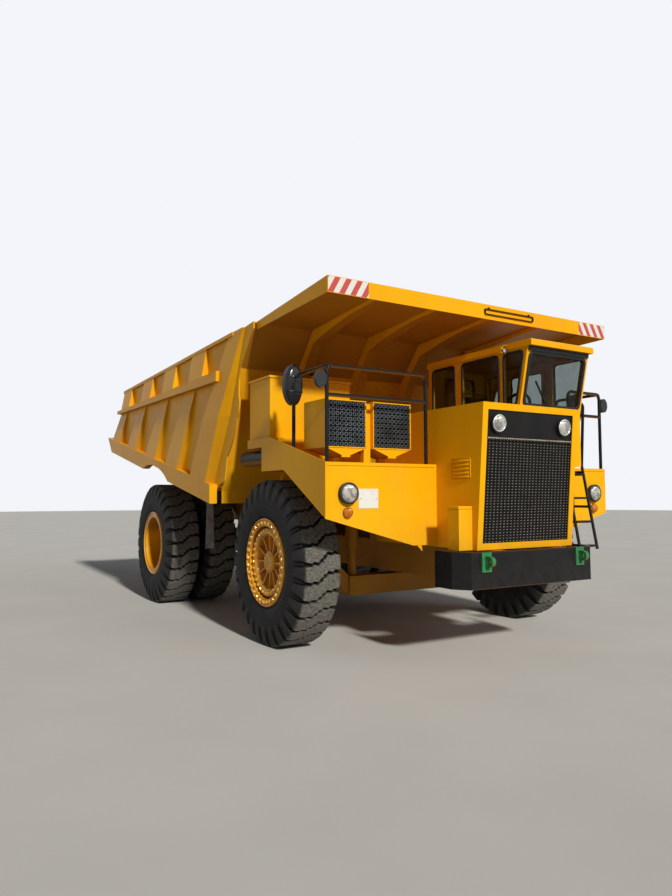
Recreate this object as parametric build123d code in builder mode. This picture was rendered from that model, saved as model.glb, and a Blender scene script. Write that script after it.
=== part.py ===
"""Rigid two-axle off-highway dump truck with a single-seat offset cab.

Millimetres. +Z up, nose towards -Y, driver's left side +X, tyres on Z = 0, and the origin
at the middle of the plan. Right-hand pieces are made first and mirrored to the left.
"""
from build123d import *
import os
from math import atan2, cos, degrees, hypot, radians, sin, tan

# Overall layout
WHEELBASE = 3800.0
FRONT_OVERHANG = 2165.0        # front axle to the tow hooks
REAR_OVERHANG = 2840.0         # rear axle to the tail of the dump body
FRONT_TRACK = 3510.0           # between the front tyres' middles
DUAL_TRACK = 3160.0            # between the middles of the rear pairs
DUAL_SPACING = 580.0           # between the two tyres of a pair
BODY_WIDTH = 4300.0            # over the side ribs
FENDER_WIDTH = 4000.0

OVERALL_LENGTH = FRONT_OVERHANG + WHEELBASE + REAR_OVERHANG
FRONT_AXLE_Y = -OVERALL_LENGTH / 2 + FRONT_OVERHANG
REAR_AXLE_Y = FRONT_AXLE_Y + WHEELBASE

# Wheels: 18.00-33 tyres on 13.00 inch rims
TYRE_DIAMETER = 1810.0
TYRE_WIDTH = 500.0
TREAD_CROWN_WIDTH = 400.0
RIM_FLANGE_DIAMETER = 965.0
RIM_BARREL_DIAMETER = 838.0
RIM_WIDTH = 450.0
RIM_WALL = 22.0
RIM_LIP = 14.0
RIM_TAPER = 12.0
BEAD_GAP = 0.3
AXLE_Z = TYRE_DIAMETER / 2
SPINDLE_DIAMETER = 150.0
REAR_SPINDLE_DIAMETER = 230.0
RUNNING_GAP = 0.3              # radial clearance of every turning fit
SIDE_GAP = 6.0                 # clearance beside a moving piece

# Chassis frame
RAIL_INNER_X = 350.0
RAIL_OUTER_X = 500.0
RAIL_BOTTOM_Z = 760.0
RAIL_TOP_Z = 1100.0
REAR_RAIL_BOTTOM_Z = 1220.0
REAR_RAIL_TOP_Z = 1560.0
PIVOT_Y = REAR_AXLE_Y + 1200.0
PIVOT_Z = 1680.0
PIVOT_PIN_DIAMETER = 90.0
PIVOT_EAR_RADIUS = 105.0
RAIL_END_Y = PIVOT_Y + 230.0

# Bumper and tow hooks
BUMPER_FRONT_Y = FRONT_AXLE_Y - 2050.0
BUMPER_BOTTOM_Z = 750.0
BUMPER_TOP_Z = 1100.0
BUMPER_HALF_WIDTH = 940.0
BUMPER_PLATE = 25.0
TOW_HOOK_X = 650.0
TOW_HOOK_THICKNESS = 45.0
TOW_PLATE = 18.0
TOW_LUG_RADIUS = 50.0
TOW_EYE_DIAMETER = 54.0
TOW_EYE_Z = 1010.0

# Hood: radiator housing in front, engine cover behind
HOOD_HALF_WIDTH = 665.0
HOOD_BOTTOM_Z = 1106.0
HOOD_TOP_Z = 2533.0
HOOD_BOTTOM_Y = FRONT_AXLE_Y - 1949.0
HOOD_TOP_Y = FRONT_AXLE_Y - 2070.0
HOUSING_REAR_Y = FRONT_AXLE_Y - 1700.0
HOOD_REAR_Y = FRONT_AXLE_Y - 250.0
HOOD_LEFT_X = 330.0
HOOD_PLATE = 10.0
GRILLE_HALF_WIDTH = 597.0
GRILLE_BOTTOM_Z = 1170.0
GRILLE_TOP_Z = 2190.0
HEADER_TOP_Z = 2465.0
GRILLE_RECESS = 28.0
HEADER_RECESS = 16.0
GRILLE_PLATE = 22.0
SIDE_BOX = (168.0, 154.0, 420.0)    # out of the hood, along it, up it
SIDE_BOX_FRONT_Y = HOOD_BOTTOM_Y + 64.0

# Fenders
FENDER_HALF_WIDTH = FENDER_WIDTH / 2
FENDER_FRONT_Y = FRONT_AXLE_Y - 1352.0
FENDER_PLATE = 10.0
DECK_Z = 1955.0
ARCH_Z = 1904.0
ARCH_REAR_Y = FRONT_AXLE_Y + 60.0
ARCH_FRONT_Y = FRONT_AXLE_Y - 480.0
FENDER_CORNER_Z = 1419.0
FENDER_INNER_Z = 1130.0
FENDER_INNER_X = 970.0
PLATFORM_Z = 2272.0
PLATFORM_FRONT_Y = FRONT_AXLE_Y - 160.0
PLATFORM_REAR_Y = FRONT_AXLE_Y + 440.0
PLATFORM_EDGE = 100.0

# Cab
CAB_RIGHT_X = 200.0
CAB_LEFT_X = 1160.0
CAB_FLOOR_Z = DECK_Z
CAB_SILL_Z = 2540.0
CAB_EAVES_Z = 3215.0
CAB_ROOF_Z = 3285.0
CAB_FRONT_Y = FRONT_AXLE_Y - 1690.0
CAB_BROW_Y = FRONT_AXLE_Y - 1830.0
CAB_REAR_Y = FRONT_AXLE_Y - 170.0
CAB_WALL = 40.0
CAB_VISOR = 60.0
CAB_HOOD_GAP = 8.0
WINDOW_RADIUS = 55.0
GLASS_THICKNESS = 6.0
DOOR_FRONT_Y = FRONT_AXLE_Y - 1240.0
DOOR_REAR_Y = FRONT_AXLE_Y - 560.0
DOOR_BOTTOM_Z = CAB_FLOOR_Z + 60.0
DOOR_TOP_Z = CAB_EAVES_Z - 25.0
DOOR_GAP = 6.0
HINGE_DIAMETER = 26.0
HINGE_PIN = 12.0
HINGE_HALF = 35.0              # half the height of the door's hinge barrel
HINGE_X = CAB_LEFT_X + 15.0
HINGE_Y = DOOR_REAR_Y - 2.0
HINGES_Z = (CAB_FLOOR_Z + 200.0, CAB_SILL_Z + 430.0)

# Dump body
BODY_HALF_WIDTH = BODY_WIDTH / 2
RIB_DEPTH = 100.0
SIDE_PLATE = 16.0
FLOOR_PLATE = 25.0
FLOOR_SLOPE = 0.18
FLOOR_FRONT_Y = FRONT_AXLE_Y + 1210.0
FLOOR_FRONT_Z = 1768.0
TAIL_Y = REAR_AXLE_Y + REAR_OVERHANG
LEAN = radians(19.7)
BODY_TOP_FRONT_Z = 3600.0
BODY_TOP_REAR_Z = 3530.0
TOP_RAIL_HEIGHT = 45.0
MID_RAIL_Z = 3180.0
LOWER_RAIL_HEIGHT = 240.0
STRINGER_BOTTOM_Z = REAR_RAIL_TOP_Z + SIDE_GAP
CANOPY_FRONT_Y = FRONT_AXLE_Y - 1400.0
CANOPY_FRONT_Z = 3735.0
CANOPY_REAR_Y = FRONT_AXLE_Y + 200.0
CANOPY_REAR_Z = 3625.0
CANOPY_HALF_WIDTH = 2000.0
CANOPY_BAND = 165.0
CANOPY_PLATE = 12.0

# Hoist: one cylinder on each side, barrel on the frame, rod on the body
HOIST_X = 850.0
HOIST_FOOT_Y = REAR_AXLE_Y - 1450.0
HOIST_FOOT_Z = 820.0
HOIST_HEAD_Y = REAR_AXLE_Y + 350.0
HOIST_HEAD_Z = 1950.0
HOIST_BARREL_DIAMETER = 210.0
HOIST_ROD_DIAMETER = 110.0
HOIST_PIN_DIAMETER = 70.0
HOIST_EYE_WIDTH = 124.0
HOIST_EYE_RADIUS = 75.0
HOIST_LENGTH = hypot(HOIST_HEAD_Y - HOIST_FOOT_Y, HOIST_HEAD_Z - HOIST_FOOT_Z)
HOIST_ANGLE = degrees(atan2(HOIST_HEAD_Z - HOIST_FOOT_Z, HOIST_HEAD_Y - HOIST_FOOT_Y))
BRACKET_PLATE = 28.0

# Front axle and steering
KINGPIN_X = 1380.0
KINGPIN_DIAMETER = 80.0
KINGPIN_BOSS_DIAMETER = 190.0
KINGPIN_BOSS_HEIGHT = 250.0
KNUCKLE_ARM_HEIGHT = 65.0
STRUT_X = 850.0
REAR_STRUT_X = RAIL_OUTER_X + 120.0
REAR_STRUT_HEAD_Z = 1440.0


def floor_z(y):
    """Height of the load floor's upper face at y."""
    return FLOOR_FRONT_Z + (y - FLOOR_FRONT_Y) * FLOOR_SLOPE


def top_z(y):
    """Height of the body's top rail at y."""
    y0, y1 = FRONT_AXLE_Y + 680.0, TAIL_Y - 880.0
    return BODY_TOP_FRONT_Z + (BODY_TOP_REAR_Z - BODY_TOP_FRONT_Z) * (y - y0) / (y1 - y0)


def hood_front_y(z):
    """Place of the leaning front face of the radiator housing at height z."""
    share = (z - HOOD_BOTTOM_Z) / (HOOD_TOP_Z - HOOD_BOTTOM_Z)
    return HOOD_BOTTOM_Y + share * (HOOD_TOP_Y - HOOD_BOTTOM_Y)


def block(x0, x1, y0, y1, z0, z1, mode=Mode.ADD):
    """Block between two opposite corners."""
    with Locations(((x0 + x1) / 2, (y0 + y1) / 2, (z0 + z1) / 2)):
        Box(abs(x1 - x0), abs(y1 - y0), abs(z1 - z0), mode=mode)


def slab(outline, x0, x1, mode=Mode.ADD):
    """Closed (y, z) outline carried from x0 to x1; a row of four is an arc by way of its first point."""
    with BuildSketch(Plane.YZ.offset(min(x0, x1))) as section:
        with BuildLine():
            here = outline[-1][-2:]
            for row in outline:
                if len(row) == 2:
                    Line(here, row)
                else:
                    ThreePointArc(here, row[:2], row[2:])
                here = row[-2:]
        make_face()
    extrude(section.sketch, amount=abs(x1 - x0), mode=mode)


def panel(outline, y0, y1, mode=Mode.ADD):
    """Closed (x, z) outline carried from y0 to y1."""
    with BuildSketch(Plane(origin=(0, min(y0, y1), 0), x_dir=(1, 0, 0), z_dir=(0, -1, 0))) as section:
        with BuildLine():
            Polyline(*outline, close=True)
        make_face()
    extrude(section.sketch, amount=-abs(y1 - y0), mode=mode)


def sheet(outline, z0, z1, mode=Mode.ADD):
    """Closed (x, y) outline carried from z0 to z1."""
    with BuildSketch(Plane.XY.offset(min(z0, z1))) as section:
        with BuildLine():
            Polyline(*outline, close=True)
        make_face()
    extrude(section.sketch, amount=abs(z1 - z0), mode=mode)


def bar(start, end, diameter, mode=Mode.ADD):
    """Round bar between two points."""
    axis = Vector(*end) - Vector(*start)
    with BuildSketch(Plane(origin=start, z_dir=axis)) as section:
        Circle(diameter / 2)
    extrude(section.sketch, amount=axis.length, mode=mode)


def tube_run(points, diameter, bend):
    """Round tube through the points, with equal bends at the corners."""
    with BuildLine() as route:
        if len(points) > 2:
            FilletPolyline(*points, radius=bend)
        else:
            Line(*points)
    with BuildSketch(Plane(origin=route.line @ 0, z_dir=route.line % 0)) as section:
        Circle(diameter / 2)
    sweep(section.sketch, path=route.line)


def turned(profile, x, y, z):
    """Ring turned about a line along X at (y, z); profile holds (offset from x, radius)."""
    with BuildSketch(Plane(origin=(x, y, z), x_dir=(1, 0, 0), z_dir=(0, -1, 0))) as section:
        with BuildLine():
            Polyline(*profile, close=True)
        make_face()
    revolve(section.sketch, axis=Axis((x, y, z), (1, 0, 0)))


def save(part, name):
    """Label one finished piece and write it."""
    part.label = name
    export_step(part, f"parts/{name}.step")


def save_left(part, name):
    """Write the mirror image of a right-hand piece."""
    save(mirror(part, about=Plane.YZ), name)


os.makedirs("parts", exist_ok=True)

# Frame: two kicked-up box rails, cross members, suspension towers, hoist brackets, pivot ears
RAIL_OUTLINE = [                    # y, z
    (BUMPER_FRONT_Y + BUMPER_PLATE, RAIL_BOTTOM_Z),
    (BUMPER_FRONT_Y + BUMPER_PLATE, RAIL_TOP_Z),
    (FRONT_AXLE_Y + 1400, RAIL_TOP_Z),
    (REAR_AXLE_Y - 1500, REAR_RAIL_TOP_Z),
    (RAIL_END_Y, REAR_RAIL_TOP_Z),
    (RAIL_END_Y, REAR_RAIL_BOTTOM_Z),
    (REAR_AXLE_Y - 1000, REAR_RAIL_BOTTOM_Z),
    (REAR_AXLE_Y - 1900, RAIL_BOTTOM_Z),
]
CROSS_MEMBERS = [                   # y, z of the middle, depth along y, height
    (FRONT_AXLE_Y - 1700, 900, 140, 200),
    (FRONT_AXLE_Y + 1400, 845, 140, 110),
    (REAR_AXLE_Y - 1650, 1330, 160, 180),
    (REAR_AXLE_Y - 700, 1390, 160, 240),
    (PIVOT_Y, 1390, 180, 260),
]
TOW_LUG_HALF_WIDTH = 35.0
REAR_EYE_DIAMETER = 64.0
REAR_EYE_Y = RAIL_END_Y + 60.0
REAR_EYE_Z = 1360.0
TOWER_TOP_Z = 1650.0
TOWER_HALF_LENGTH = 140.0
STRUT_HEAD_Z = 1500.0
PIVOT_EAR = (395.0, 455.0)          # inner and outer face of the frame's pivot ear
BRACKET_REACH = HOIST_X + HOIST_EYE_WIDTH / 2 + SIDE_GAP + BRACKET_PLATE
with BuildPart() as frame_rails:
    for side in (-1, 1):
        slab(RAIL_OUTLINE, side * RAIL_INNER_X, side * RAIL_OUTER_X)
        block(side * RAIL_INNER_X, side * RAIL_OUTER_X, FRONT_AXLE_Y - TOWER_HALF_LENGTH,
              FRONT_AXLE_Y + TOWER_HALF_LENGTH, RAIL_TOP_Z, TOWER_TOP_Z)
        block(side * RAIL_INNER_X, side * (STRUT_X + 100), FRONT_AXLE_Y - TOWER_HALF_LENGTH,
              FRONT_AXLE_Y + TOWER_HALF_LENGTH, STRUT_HEAD_Z, TOWER_TOP_Z)
        block(side * (STRUT_X - 60), side * (STRUT_X + 60), FRONT_AXLE_Y - 60, FRONT_AXLE_Y + 60,
              TOWER_TOP_Z, ARCH_Z)
        # Pivot ear: upright plate with a round head, and the pin through it
        block(side * PIVOT_EAR[0], side * PIVOT_EAR[1], PIVOT_Y - PIVOT_EAR_RADIUS,
              PIVOT_Y + PIVOT_EAR_RADIUS, REAR_RAIL_TOP_Z, PIVOT_Z)
        bar((side * PIVOT_EAR[0], PIVOT_Y, PIVOT_Z), (side * PIVOT_EAR[1], PIVOT_Y, PIVOT_Z),
            2 * PIVOT_EAR_RADIUS)
        bar((side * (PIVOT_EAR[0] - 75), PIVOT_Y, PIVOT_Z),
            (side * (PIVOT_EAR[1] + 75), PIVOT_Y, PIVOT_Z), PIVOT_PIN_DIAMETER)
        # Hoist bracket: a cross box ahead of the foot pin, two cheek plates and the pin
        block(side * RAIL_OUTER_X, side * BRACKET_REACH, HOIST_FOOT_Y - 190, HOIST_FOOT_Y - 110,
              HOIST_FOOT_Z - 100, HOIST_FOOT_Z + 260)
        for near in (HOIST_X - HOIST_EYE_WIDTH / 2 - SIDE_GAP - BRACKET_PLATE,
                     HOIST_X + HOIST_EYE_WIDTH / 2 + SIDE_GAP):
            block(side * near, side * (near + BRACKET_PLATE), HOIST_FOOT_Y - 110, HOIST_FOOT_Y,
                  HOIST_FOOT_Z - HOIST_EYE_RADIUS, HOIST_FOOT_Z + HOIST_EYE_RADIUS)
            bar((side * near, HOIST_FOOT_Y, HOIST_FOOT_Z),
                (side * (near + BRACKET_PLATE), HOIST_FOOT_Y, HOIST_FOOT_Z), 2 * HOIST_EYE_RADIUS)
        bar((side * (HOIST_X - BRACKET_REACH + HOIST_X), HOIST_FOOT_Y, HOIST_FOOT_Z),
            (side * (BRACKET_REACH + 12), HOIST_FOOT_Y, HOIST_FOOT_Z), HOIST_PIN_DIAMETER)
        # Rear strut bracket on the rail's outer face
        block(side * RAIL_OUTER_X, side * (REAR_STRUT_X + 90), REAR_AXLE_Y - 90, REAR_AXLE_Y + 90,
              REAR_STRUT_HEAD_Z, REAR_STRUT_HEAD_Z + 100)
        # Front end of the trailing link
        block(side * RAIL_INNER_X, side * RAIL_OUTER_X, REAR_AXLE_Y - 1120, REAR_AXLE_Y - 980, 800, 1240)
    for y, z, depth, height in CROSS_MEMBERS:
        block(-RAIL_INNER_X, RAIL_INNER_X, y - depth / 2, y + depth / 2, z - height / 2, z + height / 2)
    # Rear tow lug behind the last cross member
    block(-TOW_LUG_HALF_WIDTH, TOW_LUG_HALF_WIDTH, PIVOT_Y, REAR_EYE_Y, REAR_EYE_Z - 90, REAR_EYE_Z + 90)
    bar((-TOW_LUG_HALF_WIDTH, REAR_EYE_Y, REAR_EYE_Z), (TOW_LUG_HALF_WIDTH, REAR_EYE_Y, REAR_EYE_Z), 180)
    bar((-100, REAR_EYE_Y, REAR_EYE_Z), (100, REAR_EYE_Y, REAR_EYE_Z), REAR_EYE_DIAMETER, Mode.SUBTRACT)
save(frame_rails.part, "frame_rails")

# Bumper: one heavy plate bent back at both ends, with a tread plate along its top
BUMPER_OUTER = [                    # x, y seen from above
    (-BUMPER_HALF_WIDTH, FRONT_AXLE_Y - 1650), (-BUMPER_HALF_WIDTH, FRONT_AXLE_Y - 1900),
    (-BUMPER_HALF_WIDTH + 110, BUMPER_FRONT_Y), (BUMPER_HALF_WIDTH - 110, BUMPER_FRONT_Y),
    (BUMPER_HALF_WIDTH, FRONT_AXLE_Y - 1900), (BUMPER_HALF_WIDTH, FRONT_AXLE_Y - 1650),
]
BUMPER_INNER = [
    (BUMPER_HALF_WIDTH - BUMPER_PLATE, FRONT_AXLE_Y - 1650),
    (BUMPER_HALF_WIDTH - BUMPER_PLATE, FRONT_AXLE_Y - 1890),
    (BUMPER_HALF_WIDTH - 120, BUMPER_FRONT_Y + BUMPER_PLATE),
    (-BUMPER_HALF_WIDTH + 120, BUMPER_FRONT_Y + BUMPER_PLATE),
    (-BUMPER_HALF_WIDTH + BUMPER_PLATE, FRONT_AXLE_Y - 1890),
    (-BUMPER_HALF_WIDTH + BUMPER_PLATE, FRONT_AXLE_Y - 1650),
]
with BuildPart() as bumper:
    sheet(BUMPER_OUTER + BUMPER_INNER, BUMPER_BOTTOM_Z, BUMPER_TOP_Z)
save(bumper.part, "bumper")

# Tow hooks: a base plate with a pierced round lug, one at each side of the bumper
TOW_EYE_Y = FRONT_AXLE_Y - FRONT_OVERHANG + TOW_LUG_RADIUS
with BuildPart() as tow_hooks:
    for side in (-1, 1):
        x0, x1 = side * TOW_HOOK_X - TOW_HOOK_THICKNESS / 2, side * TOW_HOOK_X + TOW_HOOK_THICKNESS / 2
        block(side * TOW_HOOK_X - 60, side * TOW_HOOK_X + 60, BUMPER_FRONT_Y - TOW_PLATE, BUMPER_FRONT_Y,
              TOW_EYE_Z - 100, TOW_EYE_Z + 85)
        block(x0, x1, TOW_EYE_Y, BUMPER_FRONT_Y - TOW_PLATE,
              TOW_EYE_Z - TOW_LUG_RADIUS, TOW_EYE_Z + TOW_LUG_RADIUS)
        bar((x0, TOW_EYE_Y, TOW_EYE_Z), (x1, TOW_EYE_Y, TOW_EYE_Z), 2 * TOW_LUG_RADIUS)
        bar((x0 - 10, TOW_EYE_Y, TOW_EYE_Z), (x1 + 10, TOW_EYE_Y, TOW_EYE_Z), TOW_EYE_DIAMETER, Mode.SUBTRACT)
save(tow_hooks.part, "tow_hooks")

# Hood: leaning radiator housing with the engine cover behind it, open below and behind
HOUSING_SIDE = [
    (HOOD_BOTTOM_Y, HOOD_BOTTOM_Z), (HOOD_TOP_Y, HOOD_TOP_Z),
    (HOUSING_REAR_Y, HOOD_TOP_Z), (HOUSING_REAR_Y, HOOD_BOTTOM_Z),
]
HOUSING_VOID = [
    (HOOD_BOTTOM_Y + HOOD_PLATE, HOOD_BOTTOM_Z - 1), (HOOD_TOP_Y + HOOD_PLATE, HOOD_TOP_Z - HOOD_PLATE),
    (HOUSING_REAR_Y - HOOD_PLATE, HOOD_TOP_Z - HOOD_PLATE), (HOUSING_REAR_Y - HOOD_PLATE, HOOD_BOTTOM_Z - 1),
]
with BuildPart() as hood:
    slab(HOUSING_SIDE, -HOOD_HALF_WIDTH, HOOD_HALF_WIDTH)
    block(-HOOD_HALF_WIDTH, HOOD_LEFT_X, HOUSING_REAR_Y - 20, HOOD_REAR_Y, HOOD_BOTTOM_Z, HOOD_TOP_Z)
    slab(HOUSING_VOID, -HOOD_HALF_WIDTH + HOOD_PLATE, HOOD_HALF_WIDTH - HOOD_PLATE, Mode.SUBTRACT)
    block(-HOOD_HALF_WIDTH + HOOD_PLATE, HOOD_LEFT_X - HOOD_PLATE, HOUSING_REAR_Y - 40,
          HOOD_REAR_Y + 1, HOOD_BOTTOM_Z - 1, HOOD_TOP_Z - HOOD_PLATE, Mode.SUBTRACT)
    block(-GRILLE_HALF_WIDTH, GRILLE_HALF_WIDTH, HOOD_TOP_Y - 10, HOOD_BOTTOM_Y + 20,
          GRILLE_BOTTOM_Z, HEADER_TOP_Z, Mode.SUBTRACT)
    block(-HOOD_HALF_WIDTH - SIDE_BOX[0], -HOOD_HALF_WIDTH, SIDE_BOX_FRONT_Y,
          SIDE_BOX_FRONT_Y + SIDE_BOX[1], HOOD_BOTTOM_Z, HOOD_BOTTOM_Z + SIDE_BOX[2])
save(hood.part, "hood")


def grille_slab(z0, z1, recess):
    """Plate in the housing's opening, parallel to its leaning front face."""
    near, far = recess, GRILLE_RECESS + GRILLE_PLATE
    slab([(hood_front_y(z0) + near, z0), (hood_front_y(z1) + near, z1),
          (hood_front_y(z1) + far, z1), (hood_front_y(z0) + far, z0)],
         -HOOD_HALF_WIDTH + HOOD_PLATE, HOOD_HALF_WIDTH - HOOD_PLATE)


# Grille with the header panel above it, lapping the housing's frame all round
with BuildPart() as grille:
    grille_slab(GRILLE_BOTTOM_Z - 20, GRILLE_TOP_Z, GRILLE_RECESS)
    grille_slab(GRILLE_TOP_Z, HEADER_TOP_Z + 20, HEADER_RECESS)
save(grille.part, "grille")

# Engine as one block on four feet, with the gearbox behind it
ENGINE_HALF_WIDTH = 300.0
ENGINE_REAR_Y = FRONT_AXLE_Y + 330.0
DRIVELINE_Z = 1010.0
ENGINE_FRONT_Y = FRONT_AXLE_Y - 1500.0
ENGINE_Z = (800.0, 1880.0)
ENGINE_FEET_Y = (FRONT_AXLE_Y - 1200.0, FRONT_AXLE_Y + 100.0)
ENGINE_FOOT = (120.0, 900.0, 1000.0)    # length, bottom, top
with BuildPart() as engine:
    block(-ENGINE_HALF_WIDTH, ENGINE_HALF_WIDTH, ENGINE_FRONT_Y, ENGINE_REAR_Y, *ENGINE_Z)
    for y in ENGINE_FEET_Y:
        block(-RAIL_INNER_X, RAIL_INNER_X, y, y + ENGINE_FOOT[0], *ENGINE_FOOT[1:])
save(engine.part, "engine")

GEARBOX_REAR_Y = FRONT_AXLE_Y + 1250.0
BELL_LENGTH = 160.0
BELL_DIAMETER = 620.0
GEARCASE_DIAMETER = 470.0
SUMP = (120.0, 80.0, 60.0, 290.0)   # half width, behind the bell, ahead of the rear face, below the shaft
with BuildPart() as gearbox:
    bell_end = ENGINE_REAR_Y + BELL_LENGTH
    bar((0, ENGINE_REAR_Y, DRIVELINE_Z), (0, bell_end, DRIVELINE_Z), BELL_DIAMETER)
    bar((0, bell_end, DRIVELINE_Z), (0, GEARBOX_REAR_Y, DRIVELINE_Z), GEARCASE_DIAMETER)
    block(-SUMP[0], SUMP[0], bell_end + SUMP[1], GEARBOX_REAR_Y - SUMP[2], DRIVELINE_Z - SUMP[3], DRIVELINE_Z)
save(gearbox.part, "gearbox")

AXLE_NOSE_Y = REAR_AXLE_Y - 520.0
SHAFT_DIAMETER = 120.0
SHAFT_OVERRUN = 50.0                # past each flange, before its ends are cut upright
with BuildPart() as driveshaft:
    extra = SHAFT_OVERRUN * (DRIVELINE_Z - AXLE_Z) / (AXLE_NOSE_Y - GEARBOX_REAR_Y)
    bar((0, GEARBOX_REAR_Y - SHAFT_OVERRUN, DRIVELINE_Z + extra),
        (0, AXLE_NOSE_Y + SHAFT_OVERRUN, AXLE_Z - extra), SHAFT_DIAMETER)
    for y0, y1 in ((GEARBOX_REAR_Y - 2 * SHAFT_OVERRUN, GEARBOX_REAR_Y),
                   (AXLE_NOSE_Y, AXLE_NOSE_Y + 2 * SHAFT_OVERRUN)):
        block(-SHAFT_DIAMETER, SHAFT_DIAMETER, y0, y1, AXLE_Z - SHAFT_DIAMETER, DRIVELINE_Z + SHAFT_DIAMETER,
              Mode.SUBTRACT)
save(driveshaft.part, "driveshaft")

# Right fender: front plate, deck, tank platform, outer side plate and wheel arch liner
FENDER_FRONT = [                    # x, z
    (-HOOD_HALF_WIDTH, FENDER_INNER_Z), (-HOOD_HALF_WIDTH, DECK_Z), (-FENDER_HALF_WIDTH, DECK_Z),
    (-FENDER_HALF_WIDTH, FENDER_CORNER_Z), (-FENDER_INNER_X, FENDER_INNER_Z),
]
FENDER_SIDE = [                     # y, z
    (FENDER_FRONT_Y, FENDER_CORNER_Z), (FENDER_FRONT_Y, DECK_Z), (PLATFORM_FRONT_Y, PLATFORM_Z),
    (PLATFORM_REAR_Y, PLATFORM_Z), (PLATFORM_REAR_Y, PLATFORM_Z - PLATFORM_EDGE),
    (ARCH_REAR_Y, PLATFORM_Z - PLATFORM_EDGE), (ARCH_REAR_Y, ARCH_Z), (ARCH_FRONT_Y, ARCH_Z),
]
ARCH_LINER = [
    (FENDER_FRONT_Y, FENDER_CORNER_Z), (ARCH_FRONT_Y, ARCH_Z), (ARCH_REAR_Y, ARCH_Z),
    (ARCH_REAR_Y, ARCH_Z + FENDER_PLATE), (ARCH_FRONT_Y - 5, ARCH_Z + FENDER_PLATE),
    (FENDER_FRONT_Y, FENDER_CORNER_Z + FENDER_PLATE),
]
with BuildPart() as fender:
    panel(FENDER_FRONT, FENDER_FRONT_Y, FENDER_FRONT_Y + FENDER_PLATE)
    slab(FENDER_SIDE, -FENDER_HALF_WIDTH, -FENDER_HALF_WIDTH + FENDER_PLATE)
    block(-FENDER_HALF_WIDTH, -HOOD_HALF_WIDTH, FENDER_FRONT_Y, ARCH_REAR_Y, DECK_Z - FENDER_PLATE, DECK_Z)
    slab(ARCH_LINER, -FENDER_HALF_WIDTH, -HOOD_HALF_WIDTH)
    block(-FENDER_HALF_WIDTH, -HOOD_HALF_WIDTH, ARCH_REAR_Y - FENDER_PLATE, ARCH_REAR_Y,
          ARCH_Z, PLATFORM_Z)
    block(-FENDER_HALF_WIDTH, -HOOD_HALF_WIDTH, PLATFORM_FRONT_Y, PLATFORM_REAR_Y,
          PLATFORM_Z - FENDER_PLATE, PLATFORM_Z)
    block(-FENDER_HALF_WIDTH, -HOOD_HALF_WIDTH, PLATFORM_FRONT_Y, PLATFORM_FRONT_Y + FENDER_PLATE,
          DECK_Z - FENDER_PLATE, PLATFORM_Z)
    block(-FENDER_HALF_WIDTH, -HOOD_HALF_WIDTH, PLATFORM_REAR_Y - FENDER_PLATE, PLATFORM_REAR_Y,
          PLATFORM_Z - PLATFORM_EDGE, PLATFORM_Z)
save(fender.part, "fender_right")

# Left fender: the same front and arch, with a flat walkway deck beside the cab
WALKWAY_SIDE = [
    (FENDER_FRONT_Y, FENDER_CORNER_Z), (FENDER_FRONT_Y, DECK_Z),
    (PLATFORM_REAR_Y, DECK_Z), (PLATFORM_REAR_Y, DECK_Z - PLATFORM_EDGE),
    (ARCH_REAR_Y, DECK_Z - PLATFORM_EDGE), (ARCH_REAR_Y, ARCH_Z), (ARCH_FRONT_Y, ARCH_Z),
]
with BuildPart() as fender_left:
    panel([(-x, z) for x, z in FENDER_FRONT], FENDER_FRONT_Y, FENDER_FRONT_Y + FENDER_PLATE)
    slab(WALKWAY_SIDE, FENDER_HALF_WIDTH, FENDER_HALF_WIDTH - FENDER_PLATE)
    block(HOOD_HALF_WIDTH, FENDER_HALF_WIDTH, FENDER_FRONT_Y, PLATFORM_REAR_Y, DECK_Z - FENDER_PLATE, DECK_Z)
    slab(ARCH_LINER, HOOD_HALF_WIDTH, FENDER_HALF_WIDTH)
    block(HOOD_HALF_WIDTH, FENDER_HALF_WIDTH, ARCH_REAR_Y - FENDER_PLATE, ARCH_REAR_Y, ARCH_Z, DECK_Z)
save(fender_left.part, "fender_left")

# Air reservoir lying under the tank platform
RESERVOIR_X = -1890.0
RESERVOIR_Z = 2065.0
RESERVOIR_Y = (ARCH_REAR_Y + 20.0, ARCH_REAR_Y + 640.0)
RESERVOIR_DIAMETER = 180.0
RESERVOIR_STRAP = (50.0, 80.0, 50.0)    # half width, from the tank's end, length
with BuildPart() as air_reservoir:
    bar((RESERVOIR_X, RESERVOIR_Y[0], RESERVOIR_Z), (RESERVOIR_X, RESERVOIR_Y[1], RESERVOIR_Z),
        RESERVOIR_DIAMETER)
    strap_y = RESERVOIR_Y[0] + RESERVOIR_STRAP[1]
    block(RESERVOIR_X - RESERVOIR_STRAP[0], RESERVOIR_X + RESERVOIR_STRAP[0],
          strap_y, strap_y + RESERVOIR_STRAP[2], RESERVOIR_Z, PLATFORM_Z - FENDER_PLATE)
save(air_reservoir.part, "air_reservoir")

# Deck tank: tall box with a flanged lid and a filler neck
TANK_BOX = (-1975.0, -935.0, PLATFORM_FRONT_Y + 60.0, PLATFORM_REAR_Y - 10.0)   # x0, x1, y0, y1
TANK_TOP_Z = 2965.0
TANK_LID = (25.0, 15.0)             # thickness, overhang
FILLER_NECK = (300.0, 90.0, 160.0)      # from the tank's inner side, height, diameter
with BuildPart() as deck_tank:
    x0, x1, y0, y1 = TANK_BOX
    lid, proud = TANK_LID
    neck_x = x1 - FILLER_NECK[0]
    block(x0, x1, y0, y1, PLATFORM_Z, TANK_TOP_Z - lid)
    block(x0 - proud, x1 + proud, y0 - proud, y1 + proud, TANK_TOP_Z - lid, TANK_TOP_Z)
    bar((neck_x, (y0 + y1) / 2, TANK_TOP_Z), (neck_x, (y0 + y1) / 2, TANK_TOP_Z + FILLER_NECK[1]),
        FILLER_NECK[2])
save(deck_tank.part, "deck_tank")

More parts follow.
